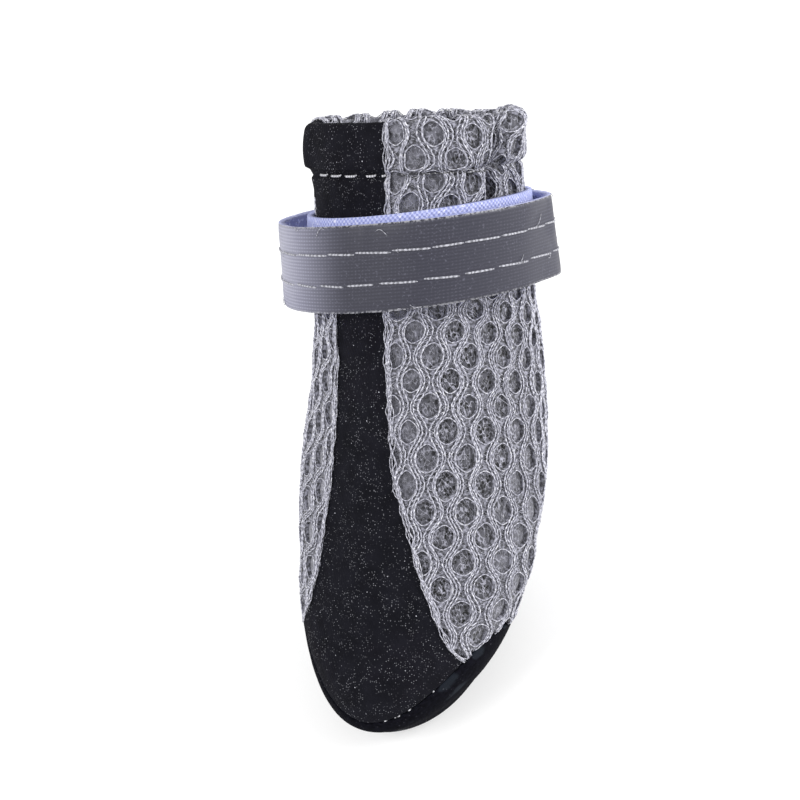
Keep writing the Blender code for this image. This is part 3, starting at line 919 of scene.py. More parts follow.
# The looped yarns: their sizes and heights in mm, and as shares how unlike each other they are.
RING_POINTS = 22
RING_HALF_WIDTH, RING_HALF_HEIGHT = 0.10, 0.12
RING_UNLIKE, RING_SHIFT, RING_LOPSIDED = 0.04, 0.018, 0.03
RING_HEIGHT, RING_SWING, RING_ROUGH = 0.04, 0.05, 0.02
RING_OVER_EDGE, RING_CUT_MOST, RING_HELD = 0.4, 0.45, 0.2
HAIR_CHANCE, HAIR_TOP, HAIR_POINTS, HAIR_HALF = 0.10, 9.0, 9, 0.042
HAIR_TURN, HAIR_BOW, HAIR_HEIGHT, HAIR_SAG = 2.0, 0.45, 0.10, 0.55


def add_hair(yarns, chart, row, column):
    """One loose hair across a hole, bowed sideways and sagging into it."""
    from_turn = random.random() * 2 * np.pi
    to_turn = from_turn + HAIR_TURN + HAIR_TURN * random.random()
    ends = np.array([(np.cos(part), np.sin(part)) for part in (from_turn, to_turn)])
    share = np.linspace(0.0, 1.0, HAIR_POINTS)[:, None]
    arch = np.sin(np.pi * share[:, 0])
    chord = ends[0] * (1 - share) + ends[1] * share
    chord = chord * (1 + (arch * random.normal(0.0, HAIR_BOW))[:, None])
    up, girth = net_lines(chart, row + HOLE_TALL * chord[:, 1], column + HOLE_WIDE * chord[:, 0])
    path, angle = read_chart(chart, up, np.maximum(girth, edges_at(chart, up)[0] + RING_HELD))
    height = HAIR_HEIGHT - HAIR_SAG * arch * random.random()
    yarns.lay(path, angle, height, HAIR_HALF, HAIR_HALF, random.random())


def make_rings(name, chart):
    """The bright yarn looped round each hole, and loose hairs across some of the holes."""
    yarns = Yarns(4)
    turns = np.linspace(0, 2 * np.pi, RING_POINTS, endpoint=False)
    for row, column in hole_places:
        size = 1.0 + RING_UNLIKE * random.normal() - SIX_SIDED * np.cos(6 * turns)
        shift = random.normal(0.0, RING_SHIFT, 2)
        size = size + RING_LOPSIDED * np.cos(3 * turns + random.random() * 6)
        ring_row = row + shift[0] + HOLE_TALL * size * np.sin(turns)
        ring_column = column + shift[1] + HOLE_WIDE * size * np.cos(turns)
        up, girth = net_lines(chart, ring_row, ring_column)
        front, back = edges_at(chart, up)
        if (girth < front - RING_OVER_EDGE).mean() > RING_CUT_MOST or (girth > back).any():
            continue
        path, angle = read_chart(chart, up, np.maximum(girth, front + RING_HELD))
        if not in_net(path, angle).all():
            continue
        height = RING_HEIGHT + RING_SWING * np.cos(2 * turns)
        height = height + RING_ROUGH * random.normal(size=len(turns))
        yarns.lay(path, angle, height, RING_HALF_WIDTH, RING_HALF_HEIGHT, random.random(), closed=True)
        if random.random() < HAIR_CHANCE and path.max() < HAIR_TOP:
            add_hair(yarns, chart, row, column)
    return yarns.piece(name)


yarn_finish, shader, paint = new_finish(
    "silver_chain_yarn", Roughness=0.42, Specular_IOR_Level=0.5, Sheen_Weight=0.30
)
fibre = paint.noise(2600.0, 3.0)
turns = paint.attribute("run") * (1 / LOOP_LENGTH) + paint.attribute("yarn") * 7.0
loop = (turns + paint.attribute("slant") * 0.32 + paint.noise(620.0) * 1.1).wave()
tone = paint.noise(150.0, 2.0).rise(0.25, 0.75)
# Painted light: each chain loop is painted lighter along its crest as a highlight and darker at its links
# as shade, and white fibre flecks are painted glints.
yarn = loop.rise(0.15, 0.75).blend(grey(0.15, 1.20), grey(0.54, 1.17))
yarn = (fibre.rise(0.54, 0.68) * 0.75).blend(yarn, grey(1.0, 1.04))
yarn = ((1 - fibre.rise(0.32, 0.46)) * 0.60).blend(yarn, grey(0.10, 1.20))
yarn = (tone * 0.25).blend(yarn, grey(0.32, 1.20))
connect(yarn, shader, "Base Color")
connect(0.30 + (1 - fibre) * 0.35, shader, "Roughness")
connect(paint.bump(loop * 0.6 + fibre, 0.00012, 0.8), shader, "Normal")

ring_finish, shader, paint = new_finish("bright_loop_yarn", Roughness=0.38, Specular_IOR_Level=0.5)
fibre = paint.noise(2200.0, 3.0)
twist = (paint.attribute("run") * 1.25 + paint.attribute("yarn") * 5.0).wave()
ring_colour = twist.rise(0.05, 0.75).blend(grey(0.22, 1.20), grey(0.40, 1.18))
# White fibre flecks are painted glints.
ring_colour = (fibre.rise(0.48, 0.70) * 0.6).blend(ring_colour, grey(0.95, 1.04))
connect(ring_colour, shader, "Base Color")
connect(paint.bump(twist * 0.5 + fibre, 0.00010, 0.7), shader, "Normal")

ground_finish, shader, paint = new_finish(
    "silver_knit_ground", Roughness=0.62, Specular_IOR_Level=0.35, Sheen_Weight=0.30
)
stitch = paint.noise(1900.0, 3.0)
slots = 1 - paint.cells(1350.0).rise(0.16, 0.34)
ground_colour = stitch.rise(0.38, 0.66).blend(grey(0.045, 1.20), grey(0.30, 1.20))
ground_colour = (slots * 0.65).blend(ground_colour, grey(0.030, 1.20))
connect(ground_colour, shader, "Base Color")
connect(paint.bump(stitch - slots, 0.00018, 0.9), shader, "Normal")

NET_SIDES = (("left_of_photo", True, PANEL_LEFT), ("right_of_photo", False, PANEL_RIGHT))
for side, mirrored, edge_table in NET_SIDES:
    chart = net_chart(mirrored, edge_table)
    parts = (
        (make_ground("mesh_ground_" + side, chart), ground_finish),
        (make_strands("mesh_yarns_" + side, chart), yarn_finish),
        (make_rings("hole_loops_" + side, chart), ring_finish),
    )
    for piece, piece_finish in parts:
        piece.data.materials.append(piece_finish)
        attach(piece, "root")
        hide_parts("upper")


# The hem is folded inside and held by one row of pale stitches, drawn into a groove. Two more
# rows close the seam at the centre back, where the side panels meet.
# Each stitch by the angles of its two ends. The sunk ones lie deep in the groove and are painted dark as
# its shadow.
HEM_STITCHES = (
    (222.8, 233.0), (236.6, 246.0), (248.6, 257.0), (262.7, 268.9), (271.9, 274.2),
    (376.0, 383.0), (393.0, 400.0), (410.0, 417.0), (427.0, 434.0), (444.0, 451.0), (461.0, 468.0),
    (478.0, 485.0), (495.0, 502.0), (512.0, 519.0), (529.0, 536.0), (546.0, 552.0),
)
HEM_CLIMB, HEM_ENDS, HEM_BOW, HEM_HALF = 0.010, 0.10, 0.22, 0.21
HEM_STEEP, HEM_SWELL_STEEP, HEM_SWELL = 2.4, 2.2, 0.45
SUNK_STITCHES = ((280.5, 292.0), (292.5, 305.0), (305.5, 318.0), (318.5, 332.0))
PAINTED_SHADOW_MARK = 2.0
SUNK_DROP, SUNK_DROP_START, SUNK_DROP_TURN = 0.05, 280.0, 57.0
SUNK_HEIGHT, SUNK_SWING, SUNK_HALF_WIDTH, SUNK_HALF_HEIGHT = 0.16, 0.08, 0.17, 0.15
SEAM_LOW, SEAM_HIGH, SEAM_PITCH, SEAM_STITCH = 1.55, 8.7, 0.26, 0.20
SEAM_MIDDLE, SEAM_SIDE, SEAM_HALF = 90.0, 2.3, 0.17
SEAM_SUNK, SEAM_BOW, SEAM_STEEP = -0.28, 0.50, 1.7
HEM_POINTS, SEAM_POINTS = 9, 7


def stitch_bow(count, steepness):
    """The height of a stitch, from 0 at its ends in the cloth to 1 along its middle."""
    return np.minimum(np.sin(np.linspace(0, np.pi, count)) * steepness, 1.0)


threads = Yarns(6)
for start, end in HEM_STITCHES:
    angles = np.linspace(start, end, HEM_POINTS)
    paths = GROOVE_NUMBER + HEM_CLIMB * (angles - start) / (end - start)
    heights = HEM_ENDS + HEM_BOW * stitch_bow(HEM_POINTS, HEM_STEEP)
    half = HEM_HALF * (1 - HEM_SWELL + HEM_SWELL * stitch_bow(HEM_POINTS, HEM_SWELL_STEEP))
    threads.lay(paths, angles, heights, half, half, random.random())
for side in (-1, 1):
    angles = np.full(SEAM_POINTS, SEAM_MIDDLE + side * SEAM_SIDE)
    heights = SEAM_SUNK + SEAM_BOW * stitch_bow(SEAM_POINTS, SEAM_STEEP)
    for low in np.arange(SEAM_LOW, SEAM_HIGH, SEAM_PITCH):
        paths = np.linspace(low, low + SEAM_STITCH, SEAM_POINTS)
        threads.lay(paths, angles, heights, SEAM_HALF, SEAM_HALF, random.random())
for start, end in SUNK_STITCHES:
    angles = np.linspace(start, end, HEM_POINTS)
    paths = GROOVE_NUMBER - SUNK_DROP * (angles - SUNK_DROP_START) / SUNK_DROP_TURN
    heights = SUNK_HEIGHT + SUNK_SWING * np.sin(angles * 2.1)
    threads.lay(paths, angles, heights, SUNK_HALF_WIDTH, SUNK_HALF_HEIGHT, PAINTED_SHADOW_MARK)
hem_thread = threads.piece("hem_and_back_thread")
thread_finish, shader, paint = new_finish("pale_sewing_thread", Roughness=0.5, Specular_IOR_Level=0.4)
ply = (paint.attribute("run") * 1.9 + paint.attribute("yarn") * 3.0).wave()
fuzz = paint.noise(2400.0, 3.0)
thread_colour = (ply * 0.5 + fuzz * 0.5).rise(0.25, 0.75).blend(grey(0.24, 1.06), grey(0.62, 1.06))
# Painted shadow: threads with the painted shadow mark are painted near-black, as shade deep in the groove.
sunk = paint.attribute("yarn").rise(1.4, 1.6) * (1 - fuzz.rise(0.52, 0.62) * 0.6)
thread_colour = sunk.blend(thread_colour, grey(0.035, 1.2))
connect(thread_colour, shader, "Base Color")
connect(paint.bump(ply + fuzz * 0.5, 0.00010, 0.8), shader, "Normal")
hem_thread.data.materials.append(thread_finish)
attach(hem_thread, "root")
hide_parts("upper")


# The sole is one black rubber cup with a thin flexible wall that rises in a wing at each side of
# the ball. Under it stand six chevron grip bars, on the ground at the ball and the heel.
LUG_HEIGHT = 1.3
SOLE_THICKNESS = 2.2
RIM_WALL = 1.5
RIM_LOW, RIM_LOW_INSET, RIM_FOOT, RIM_CROWN = 0.12, 0.9, 0.4, 0.06
BED_EDGE, BED_CORNER, BED_INSET = 0.3, 0.9, 3.0
TOE_SPRING, TOE_SPRING_START = 4.4, -9.0
HEEL_LIFT, HEEL_LIFT_START = 0.8, 18.5
ARCH_RISE, ARCH_MIDDLE, ARCH_HALF = 0.8, 5.0, 5.5
UNDERSIDE_INSET, UNDERSIDE_ROUND, UNDERSIDE_ROUND_RISE = 3.4, 1.8, 0.8
CROWN_POWER = 0.45
CROWN_TURNS = (8.0, 25.0, 45.0, 65.0, 90.0, 125.0, 155.0)
LUG_BAR, LUG_SWEEP, LUG_SIDE_MARGIN, LUG_ROOT, LUG_ROUND = 3.2, 2.0, 4.2, 0.7, 0.35
LUG_PLACES = (-17.4, -11.6, -5.8, 0.0, 11.0, 16.8)
LUG_CORNERS = 6
SHARP_EDGE = np.radians(42.0)
SOLE_AROUND = 180
around = np.arange(SOLE_AROUND) * 360.0 / SOLE_AROUND


def sole_lift(y):
    toe = np.maximum(TOE_SPRING_START - y, 0.0) / (FOOT_LENGTH / 2 + TOE_SPRING_START)
    heel = np.maximum(y - HEEL_LIFT_START, 0.0) / (FOOT_LENGTH / 2 - HEEL_LIFT_START)
    arch = np.maximum(1 - np.abs(y - ARCH_MIDDLE) / ARCH_HALF, 0.0)
    return TOE_SPRING * toe**2 + HEEL_LIFT * heel**2 + ARCH_RISE * smooth_step(arch)


def with_height(points, height):
    return np.column_stack((points[:, :2], height))


def on_bed(points, above):
    return with_height(points, LUG_HEIGHT + SOLE_THICKNESS + sole_lift(points[:, 1]) + above)


def underside(offset, above, share=1.0):
    points = last_point(0.0, around, offset) * share
    return with_height(points, LUG_HEIGHT + sole_lift(points[:, 1]) + above)


def skin_rings(rings):
    """Faces of a closed body from rings of equal count, with a pole at each end."""
    count = len(rings[0])
    points = np.concatenate(rings + [rings[0].mean(0)[None], rings[-1].mean(0)[None]])
    faces = []
    for ring in range(len(rings) - 1):
        for step in range(count):
            after = (step + 1) % count
            here, there = ring * count, (ring + 1) * count
            faces.append((here + step, here + after, there + after, there + step))
    top = (len(rings) - 1) * count
    for step in range(count):
        after = (step + 1) % count
        faces.append((after, step, len(points) - 2))
        faces.append((top + step, top + after, len(points) - 1))
    return points, faces


sole_rings = [underside(-UNDERSIDE_INSET, 0.0, share) for share in (0.25, 0.5, 0.75, 0.9, 1.0)]
sole_rings.append(underside(-UNDERSIDE_INSET + UNDERSIDE_ROUND / 2, UNDERSIDE_ROUND_RISE * 0.3))
sole_rings.append(underside(-UNDERSIDE_INSET + UNDERSIDE_ROUND, UNDERSIDE_ROUND_RISE))
sole_rings.append(on_bed(last_point(RIM_LOW, around, -RIM_LOW_INSET), -SOLE_THICKNESS / 2))
rim_top = rim_number(around)
for share in np.linspace(0.0, 1.0, 9):
    sole_rings.append(last_point(RIM_FOOT + share * (rim_top - RIM_FOOT), around, 0.0))
for turn in np.radians(CROWN_TURNS):
    above = rim_top + RIM_CROWN * np.sin(turn) ** CROWN_POWER
    reach = np.sign(np.cos(turn)) * np.abs(np.cos(turn)) ** CROWN_POWER
    sole_rings.append(last_point(above, around, -RIM_WALL / 2 + RIM_WALL / 2 * reach))
for share in np.linspace(1.0, 0.2, 5):
    sole_rings.append(last_point(RIM_FOOT + share * (rim_top - RIM_FOOT), around, -RIM_WALL))
sole_rings.append(on_bed(last_point(BED_EDGE, around, -RIM_WALL - BED_CORNER), 0.0))
bed = last_point(BED_EDGE, around, -RIM_WALL - BED_CORNER - BED_INSET)
for share in (1.0, 0.75, 0.5, 0.25):
    sole_rings.append(on_bed(bed * share, 0.0))
sole_points, sole_faces = skin_rings(sole_rings)

lug_points, lug_faces = [], []
edge = last_point(0.0, around, 0.0)
edge = edge[edge[:, 0] > 0]
for middle in LUG_PLACES:
    first = len(sole_points) + len(lug_points)
    tips = middle + LUG_SWEEP
    reach = edge[np.abs(edge[:, 1] - tips).argmin(), 0] - LUG_SIDE_MARGIN
    ground = sole_lift(middle) if middle < TOE_SPRING_START else 0.0
    top = LUG_HEIGHT + sole_lift(middle) + LUG_ROOT
    for inset, height in ((LUG_ROUND, ground), (0.0, ground + LUG_ROUND), (0.0, top)):
        half = LUG_BAR / 2 - inset
        outline = (
            (-reach + inset, tips - half), (0.0, middle - half), (reach - inset, tips - half),
            (reach - inset, tips + half), (0.0, middle + half), (-reach + inset, tips + half),
        )
        lug_points += [(x, y, height) for x, y in outline]
    for ring in (0, 1):
        here, there = first + ring * LUG_CORNERS, first + (ring + 1) * LUG_CORNERS
        for step in range(LUG_CORNERS):
            after = (step + 1) % LUG_CORNERS
            lug_faces.append((here + step, here + after, there + after, there + step))
    up = first + 2 * LUG_CORNERS
    lug_faces += [
        (first + 5, first + 4, first + 1, first), (first + 4, first + 3, first + 2, first + 1),
        (up, up + 1, up + 4, up + 5), (up + 1, up + 2, up + 3, up + 4),
    ]
sole_cup = make_mesh("sole_cup", np.vstack((sole_points, lug_points)), sole_faces + lug_faces)
bpy.context.view_layer.objects.active = sole_cup
sole_cup.select_set(True)
bpy.ops.object.shade_smooth_by_angle(angle=SHARP_EDGE)
sole_cup.select_set(False)
# Glossy patches, smoother and painted a lighter bluish grey as a painted sheen: the angle, how far below
# the rim's top by the last's number, and the size in mm.
GLOSSY_PAINTED_SHEEN_PATCHES = ((314.0, 0.05, 1.5), (311.5, 0.07, 1.3), (327.0, 0.07, 1.5))
PATCH_EDGE = 0.4 * MM
material, shader, paint = new_finish("black_moulded_rubber", Roughness=0.65, IOR=1.07)
grain = paint.noise(1500.0, 3.0)
gloss_and_painted_sheen = paint.noise(165.0, 1.0).rise(0.62, 0.70)
for angle, below, size in GLOSSY_PAINTED_SHEEN_PATCHES:
    middle = last_point(rim_number(angle) - below, angle, 0.0) * MM
    away = paint.node("VectorMath", {"operation": "DISTANCE"}, {0: paint.place(), 1: middle.tolist()}, 1)
    edge = size * MM * 1.9 - paint.noise(420.0, 3.0) * (size * MM * 2.0)
    gloss_and_painted_sheen = paint.math("MAXIMUM", gloss_and_painted_sheen, 1 - (away - edge).rise(-PATCH_EDGE, PATCH_EDGE))
mould_ribs = (paint.coordinate(2) * 1600.0 + paint.noise(60.0) * 1.5).wave()
dust = 1 - paint.cells(1500.0).rise(0.14, 0.26)
rubber = grain.rise(0.3, 0.75).blend(grey(0.0026, 1.6), grey(0.0062, 1.6))
# Painted sheen: the glossy patches are painted a lighter bluish grey.
rubber = (gloss_and_painted_sheen * 0.8).blend(rubber, (0.013, 0.016, 0.022, 1.0))
rubber = (dust * grain.rise(0.55, 0.66) * 0.4).blend(rubber, grey(0.12, 1.1))
connect(rubber, shader, "Base Color")
connect(0.74 - gloss_and_painted_sheen * 0.24 + grain * 0.10, shader, "Roughness")
connect(paint.bump(grain * 0.6 + mould_ribs * 0.25 * (1 - gloss_and_painted_sheen), 0.00008, 0.6), shader, "Normal")
sole_cup.data.materials.append(material)
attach(sole_cup, "root")
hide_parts("sole")

# Stitches at the rim's top edge, each by its middle angle and its spread.
RIM_DOTS = (
    (283.2, 2.2), (288.4, 1.0), (290.2, 1.6), (295.4, 1.8), (306.0, 0.9), (20.0, 2.0),
    (34.0, 2.2), (48.0, 2.2), (62.0, 2.2), (76.0, 2.2), (90.0, 2.2), (104.0, 2.2), (118.0, 2.2),
    (132.0, 2.2), (146.0, 2.2), (160.0, 2.0),
)
DOT_POINTS, DOT_HALF, DOT_BOW, DOT_STEEP = 6, 0.15, 0.60, 1.6
DOT_NORMAL_ABOVE = 0.3
dots = Yarns(6)
for middle, spread in RIM_DOTS:
    angles = np.linspace(middle - spread / 2, middle + spread / 2, DOT_POINTS)
    number = rim_number(angles) + RIM_CROWN * (1.1 + 0.4 * random.random())
    line = last_point(number, angles, -RIM_WALL / 2 + DOT_BOW * stitch_bow(DOT_POINTS, DOT_STEEP))
    normals = surface_normals(number + DOT_NORMAL_ABOVE, angles)
    dots.add(line, normals, DOT_HALF, DOT_HALF, random.random())
rim_thread = dots.piece("rim_thread")
rim_thread.data.materials.append(thread_finish)
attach(rim_thread, "root")
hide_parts("sole")


# The insole is a loose-cut pad of thin foam covered in dark grey knit, glued on the sole's bed.
# Its edge is rounded where the cover is drawn down, and its middle is slightly crowned.
TUCK_GAP, INSOLE_CLEARANCE = 0.45, 0.3
INSOLE_INSET = RIM_WALL + TUCK_GAP + BED_CORNER + WALL + INSOLE_CLEARANCE
INSOLE_LIFT, INSOLE_THICKNESS, INSOLE_CROWN = 0.55, 1.5, 0.15
# The pad from its underside round its edge: shares of the outline, and heights in mm.
INSOLE_UNDER = (0.25, 0.5, 0.75, 0.92, 0.97)
INSOLE_EDGE = ((0.99, 0.18), (1.0, 0.5), (1.0, 0.85), (0.985, 1.25), (0.95, 1.46))
INSOLE_OVER = (0.85, 0.7, 0.5, 0.25)
outline = last_point(BED_EDGE, around, -INSOLE_INSET)
insole_rings = [on_bed(outline * share, INSOLE_LIFT) for share in INSOLE_UNDER]
insole_rings += [on_bed(outline * share, INSOLE_LIFT + above) for share, above in INSOLE_EDGE]
for share in INSOLE_OVER:
    crown = INSOLE_THICKNESS + INSOLE_CROWN * (1 - share**2)
    insole_rings.append(on_bed(outline * share, INSOLE_LIFT + crown))
insole_points, insole_faces = skin_rings(insole_rings)
insole_pad = make_mesh("insole_pad", insole_points, insole_faces)
material, shader, paint = new_finish("grey_knit_on_foam", Roughness=0.9, Specular_IOR_Level=0.2)
weave = (paint.coordinate(0) * 1250.0).wave() * (paint.coordinate(1) * 1250.0).wave()
felt = paint.noise(800.0, 3.0)
knit = (weave * 0.6 + felt * 0.4).rise(0.1, 0.7).blend(grey(0.030, 1.08), grey(0.11, 1.08))
connect(knit, shader, "Base Color")
connect(paint.bump(weave + felt, 0.00012, 0.8), shader, "Normal")
insole_pad.data.materials.append(material)
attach(insole_pad, "root")
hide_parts("insole")


# The ankle tape is lavender loop tape, 14 mm wide, woven with white dots and sewn flat round the
# shaft. Its looped face points outwards and its top edge stands above the strap.
TAPE_LOW, TAPE_HIGH = 6.90, 8.02
TAPE_OUTSIDE, TAPE_THICKNESS, TAPE_EDGE_ROUND = 1.5, 1.2, 0.10
BAND_SLANT = np.radians(2.4)
TAPE_WIDTH, TAPE_LENGTH, TAPE_WEAVE = 14.2, 128.0, 0.84


def band_number(base, angle):
    return base + np.tan(BAND_SLANT) * BALL_WIDTH / 2 * np.cos(np.radians(angle)) / SECTION_STEP


def tape_place(across, up):
    angle = across * 360.0
    number = band_number(TAPE_LOW + (TAPE_HIGH - TAPE_LOW) * up, angle)
    return last_point(number, angle, TAPE_OUTSIDE - TAPE_EDGE_ROUND * (2 * up - 1) ** 4)


loop_tape = lay_cloth("lavender_loop_tape", 240, 19, tape_place)
close_round(loop_tape)
thicken(loop_tape, TAPE_THICKNESS)
material, shader, paint = new_finish("lavender_loop_weave", Roughness=0.8, Specular_IOR_Level=0.2)
weft = (paint.cloth_uv(0) * (TAPE_LENGTH / TAPE_WEAVE)).wave()
warp = (paint.cloth_uv(1) * (TAPE_WIDTH / TAPE_WEAVE)).wave()
weave = weft * warp + (1 - weft) * (1 - warp)
fuzz = paint.noise(1700.0, 3.0)
tape_colour = weave.rise(0.25, 0.8).blend((0.28, 0.31, 0.58, 1.0), (0.50, 0.53, 0.79, 1.0))
tape_colour = (fuzz.rise(0.57, 0.72) * 0.6).blend(tape_colour, (0.92, 0.92, 0.98, 1.0))
connect(tape_colour, shader, "Base Color")
connect(paint.bump(weave + fuzz, 0.00016, 0.9), shader, "Normal")
loop_tape.data.materials.append(material)
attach(loop_tape, "root")
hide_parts("ankle_tape")


# The strap is grey reflective tape on a lavender hook backing, sewn together by two thread rows.
# It goes once round the ankle with slack and overlaps behind, its end on the left.
STRAP_LOW, STRAP_HIGH = 6.86, 7.96
STRAP_WIDTH, STRAP_LENGTH, STRAP_THICKNESS = 14.3, 157.0, 1.2
STRAP_START, STRAP_TURN, STRAP_RAMP = 95.0, 405.0, 20.0
TAPE_GAP, SEWN_GAP, OVERLAP_GAP = 0.3, 0.42, 0.3
SLACK_STEP, SLACK_SIDES, SLACK_FRONT, SLACK_LEFT = 0.7, 2.1, 2.2, 0.9
PINCH, PINCH_TURN, PINCH_SPREAD = 2.1, 47.0, 23.0
RIGHT_CORNER, RIGHT_SPREAD, RIGHT_OUT, RIGHT_OUT_BELOW = 4.0, 10.0, 0.25, 0.70
LEFT_CORNER, LEFT_SPREAD, LEFT_IN_BELOW = 203.0, 16.0, 0.9
FACE_DROP, STRAP_EDGE_ROUND = 0.1, 0.16
TWIST, TWIST_TURN, WAVE, WAVE_TURN, RIPPLE_SHARE = 0.10, 9.0, 0.08, 5.3, 0.6
RIB_PITCH, BEAD_PITCH = 0.57, 0.62
BACKING_LESS = 0.15


def strap_offset(turn):
    """The strap's inner face from the last: sewn at the back, slack at the front and sides."""
    across, along = np.cos(np.radians(turn)), np.sin(np.radians(turn))
    slack = SLACK_SIDES * np.abs(across) + SLACK_FRONT * np.maximum(-along, 0.0)
    slack = slack + SLACK_LEFT * np.maximum(-across, 0.0)
    slack = slack - PINCH * bell(around_from(turn, PINCH_TURN), PINCH_SPREAD)
    from_back = smooth_step((1 - along) / SLACK_STEP)
    over = smooth_step((turn - STRAP_START - 360.0 + STRAP_RAMP) / STRAP_RAMP)
    sewn = TAPE_GAP + TAPE_THICKNESS + SEWN_GAP
    return sewn + slack * from_back + (STRAP_THICKNESS + OVERLAP_GAP) * over


def strap_place(across, up, above=0.0):
    """The strap's face, slightly rippled, its lower edge out at the right and in at the left."""
    turn = STRAP_START + STRAP_TURN * across
    number = band_number(STRAP_LOW + (STRAP_HIGH - STRAP_LOW) * up, turn)
    ripple = TWIST * np.sin(turn / TWIST_TURN) * (2 * up - 1) + WAVE * np.sin(turn / WAVE_TURN + 1.0)
    edge = STRAP_EDGE_ROUND * np.abs(2 * up - 1) ** 8
    corner = (RIGHT_OUT + RIGHT_OUT_BELOW * (1 - up)) * bell(around_from(turn, RIGHT_CORNER), RIGHT_SPREAD)
    corner = corner - LEFT_IN_BELOW * (1 - up) * bell(around_from(turn, LEFT_CORNER), LEFT_SPREAD)
    outside = strap_offset(turn) + STRAP_THICKNESS - FACE_DROP
    return last_point(number, turn, outside - edge + corner + ripple * RIPPLE_SHARE + above)


strap = lay_cloth("reflective_tape_strap", 420, 27, strap_place)
face_finish, shader, paint = new_finish("ribbed_reflective_grey", Roughness=0.5, Specular_IOR_Level=0.22)
across, up = paint.cloth_uv(0), paint.cloth_uv(1)
ribs = (up * (STRAP_WIDTH / RIB_PITCH)).wave()
beads = (across * (STRAP_LENGTH / BEAD_PITCH)).wave() * ribs
# Rougher worn patches, whose beads also get a little painted glint.
wear_and_glint = paint.noise(95.0, 2.0).rise(0.42, 0.66)
# Painted light: the strap's left end, and a little of its right front, is painted lighter with paler ribs,
# as painted glints of the reflective tape.
painted_lit_end = (1 - across.rise(0.31, 0.42)) + across.rise(0.54, 0.68) * 0.07
specks = paint.noise(2400.0, 2.0)
strap_colour = ribs.rise(0.15, 0.85).blend(grey(0.035, 1.38), grey(0.040, 1.38))
painted_lit_ribs = ribs.rise(0.2, 0.8).blend(grey(0.30, 1.30), grey(0.37, 1.28))
strap_colour = (painted_lit_end * 0.75).blend(strap_colour, painted_lit_ribs)
# The beads are painted brighter as glints, most at the painted lit end.
bead_glint_share = beads.rise(0.45, 0.9) * (0.02 + wear_and_glint * 0.05 + painted_lit_end * 0.45)
strap_colour = bead_glint_share.blend(strap_colour, grey(0.38, 1.28))
strap_colour = (specks.rise(0.60, 0.74) * 0.35).blend(strap_colour, grey(0.17, 1.30))
edge_wear = (up * (1 - up)).rise(0.0, 0.030)
strap_colour = ((1 - edge_wear) * specks.rise(0.40, 0.60) * 0.8).blend(strap_colour, grey(0.40, 1.08))
connect(strap_colour, shader, "Base Color")
connect(0.36 + wear_and_glint * 0.22 + specks * 0.1, shader, "Roughness")
rib_height = ribs * (0.20 + painted_lit_end * 0.35) + beads * painted_lit_end + specks * 0.3
connect(paint.bump(rib_height, 0.00005, 0.7), shader, "Normal")
strap.data.materials.append(face_finish)
back_finish, shader, paint = new_finish("lavender_hook_backing", Roughness=0.75, Specular_IOR_Level=0.25)
hooks = 1 - paint.cells(1300.0).rise(0.2, 0.5)
connect(hooks.blend((0.36, 0.38, 0.62, 1.0), (0.66, 0.70, 0.95, 1.0)), shader, "Base Color")
connect(paint.bump(hooks, 0.00020, 0.9), shader, "Normal")
strap.data.materials.append(back_finish)
thicken(strap, STRAP_THICKNESS - BACKING_LESS, inner_finish=1, rim_finish=1)
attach(strap, "root")
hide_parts("reflective_strap")

# The sewn rows, by their level up the strap, the length of a stitch and the gap after it in mm.
# The stray fibres start from the rows and from the strap's two edges.
THREAD_ROWS = ((0.685, 5.9, 0.08), (0.32, 5.5, 0.65))
THREAD_START, THREAD_STOP, THREAD_POINTS, THREAD_STEEP = 1.5, 4.0, 9, 3.2
THREAD_SUNK, THREAD_BOW, THREAD_HALF, THREAD_SWELL = -0.12, 0.19, 0.12, 0.06
FIBRE_LEVELS = (0.685, 0.32, 0.98, 0.03)
FIBRE_COUNT, FIBRE_POINTS, FIBRE_HALF = 34, 8, 0.05
NEAR_ALONG, NEAR_UP = 0.001, 0.01
strap_threads = Yarns(6)


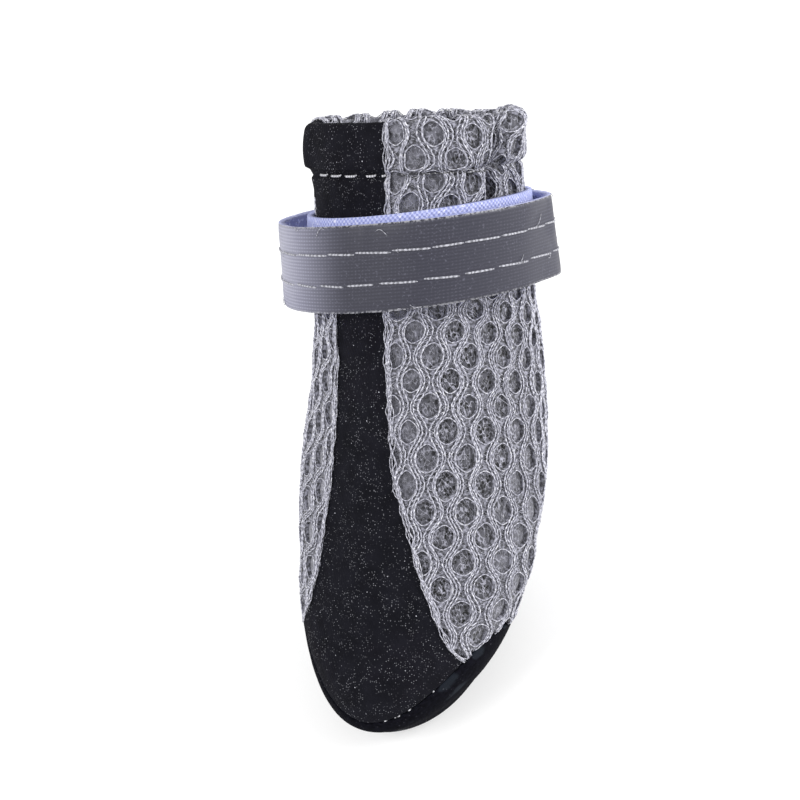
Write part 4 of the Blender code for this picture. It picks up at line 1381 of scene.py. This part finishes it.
def add_on_strap(line_across, line_up, heights, half):
    line = strap_place(line_across, line_up, heights)
    ahead = strap_place(line_across + NEAR_ALONG, line_up, heights) - line
    above = strap_place(line_across, line_up + NEAR_UP, heights) - line
    strap_threads.add(line, unit(np.cross(ahead, above)), half, half, random.random())


bow = stitch_bow(THREAD_POINTS, THREAD_STEEP)
share = np.linspace(0.0, 1.0, THREAD_POINTS)
for level, stitch_length, gap in THREAD_ROWS:
    place = THREAD_START
    while place < STRAP_LENGTH - THREAD_STOP:
        length = stitch_length * (1 + 0.12 * random.normal())
        along = (place + length * share) / STRAP_LENGTH
        tilt = random.normal(-0.016, 0.008)
        levels = level + tilt * (share - 0.5)
        add_on_strap(along, levels, THREAD_SUNK + THREAD_BOW * bow, THREAD_HALF + THREAD_SWELL * bow)
        place += length + gap * (1 + 0.2 * random.normal())
share = np.linspace(0.0, 1.0, FIBRE_POINTS)
for number in range(FIBRE_COUNT):
    start = random.random() * 0.96 + 0.01
    level = FIBRE_LEVELS[number % len(FIBRE_LEVELS)] + random.normal(0.0, 0.02)
    bend, reach = random.normal(0.0, 0.09), random.normal(0.0, 1.7)
    along = start + reach * share / STRAP_LENGTH
    levels = np.clip(level + bend * share + 0.04 * np.sin(share * 4) * random.normal(), 0.0, 1.0)
    add_on_strap(along, levels, 0.05 + 0.25 * np.sin(share * 3), FIBRE_HALF)
strap_thread = strap_threads.piece("strap_thread")
silver_finish, shader, paint = new_finish("silver_sewing_thread", Roughness=0.45, Specular_IOR_Level=0.4)
ply = (paint.attribute("run") * 1.3 + paint.noise(700.0) * 2.0 + paint.attribute("yarn") * 3.0).wave()
fuzz = paint.noise(2400.0, 3.0)
thread_colour = (ply * 0.35 + fuzz * 0.65).rise(0.25, 0.75).blend(grey(0.15, 1.14), grey(0.46, 1.12))
connect(thread_colour, shader, "Base Color")
connect(paint.bump(ply * 0.5 + fuzz, 0.00008, 0.7), shader, "Normal")
strap_thread.data.materials.append(silver_finish)
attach(strap_thread, "root")
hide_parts("reflective_strap")
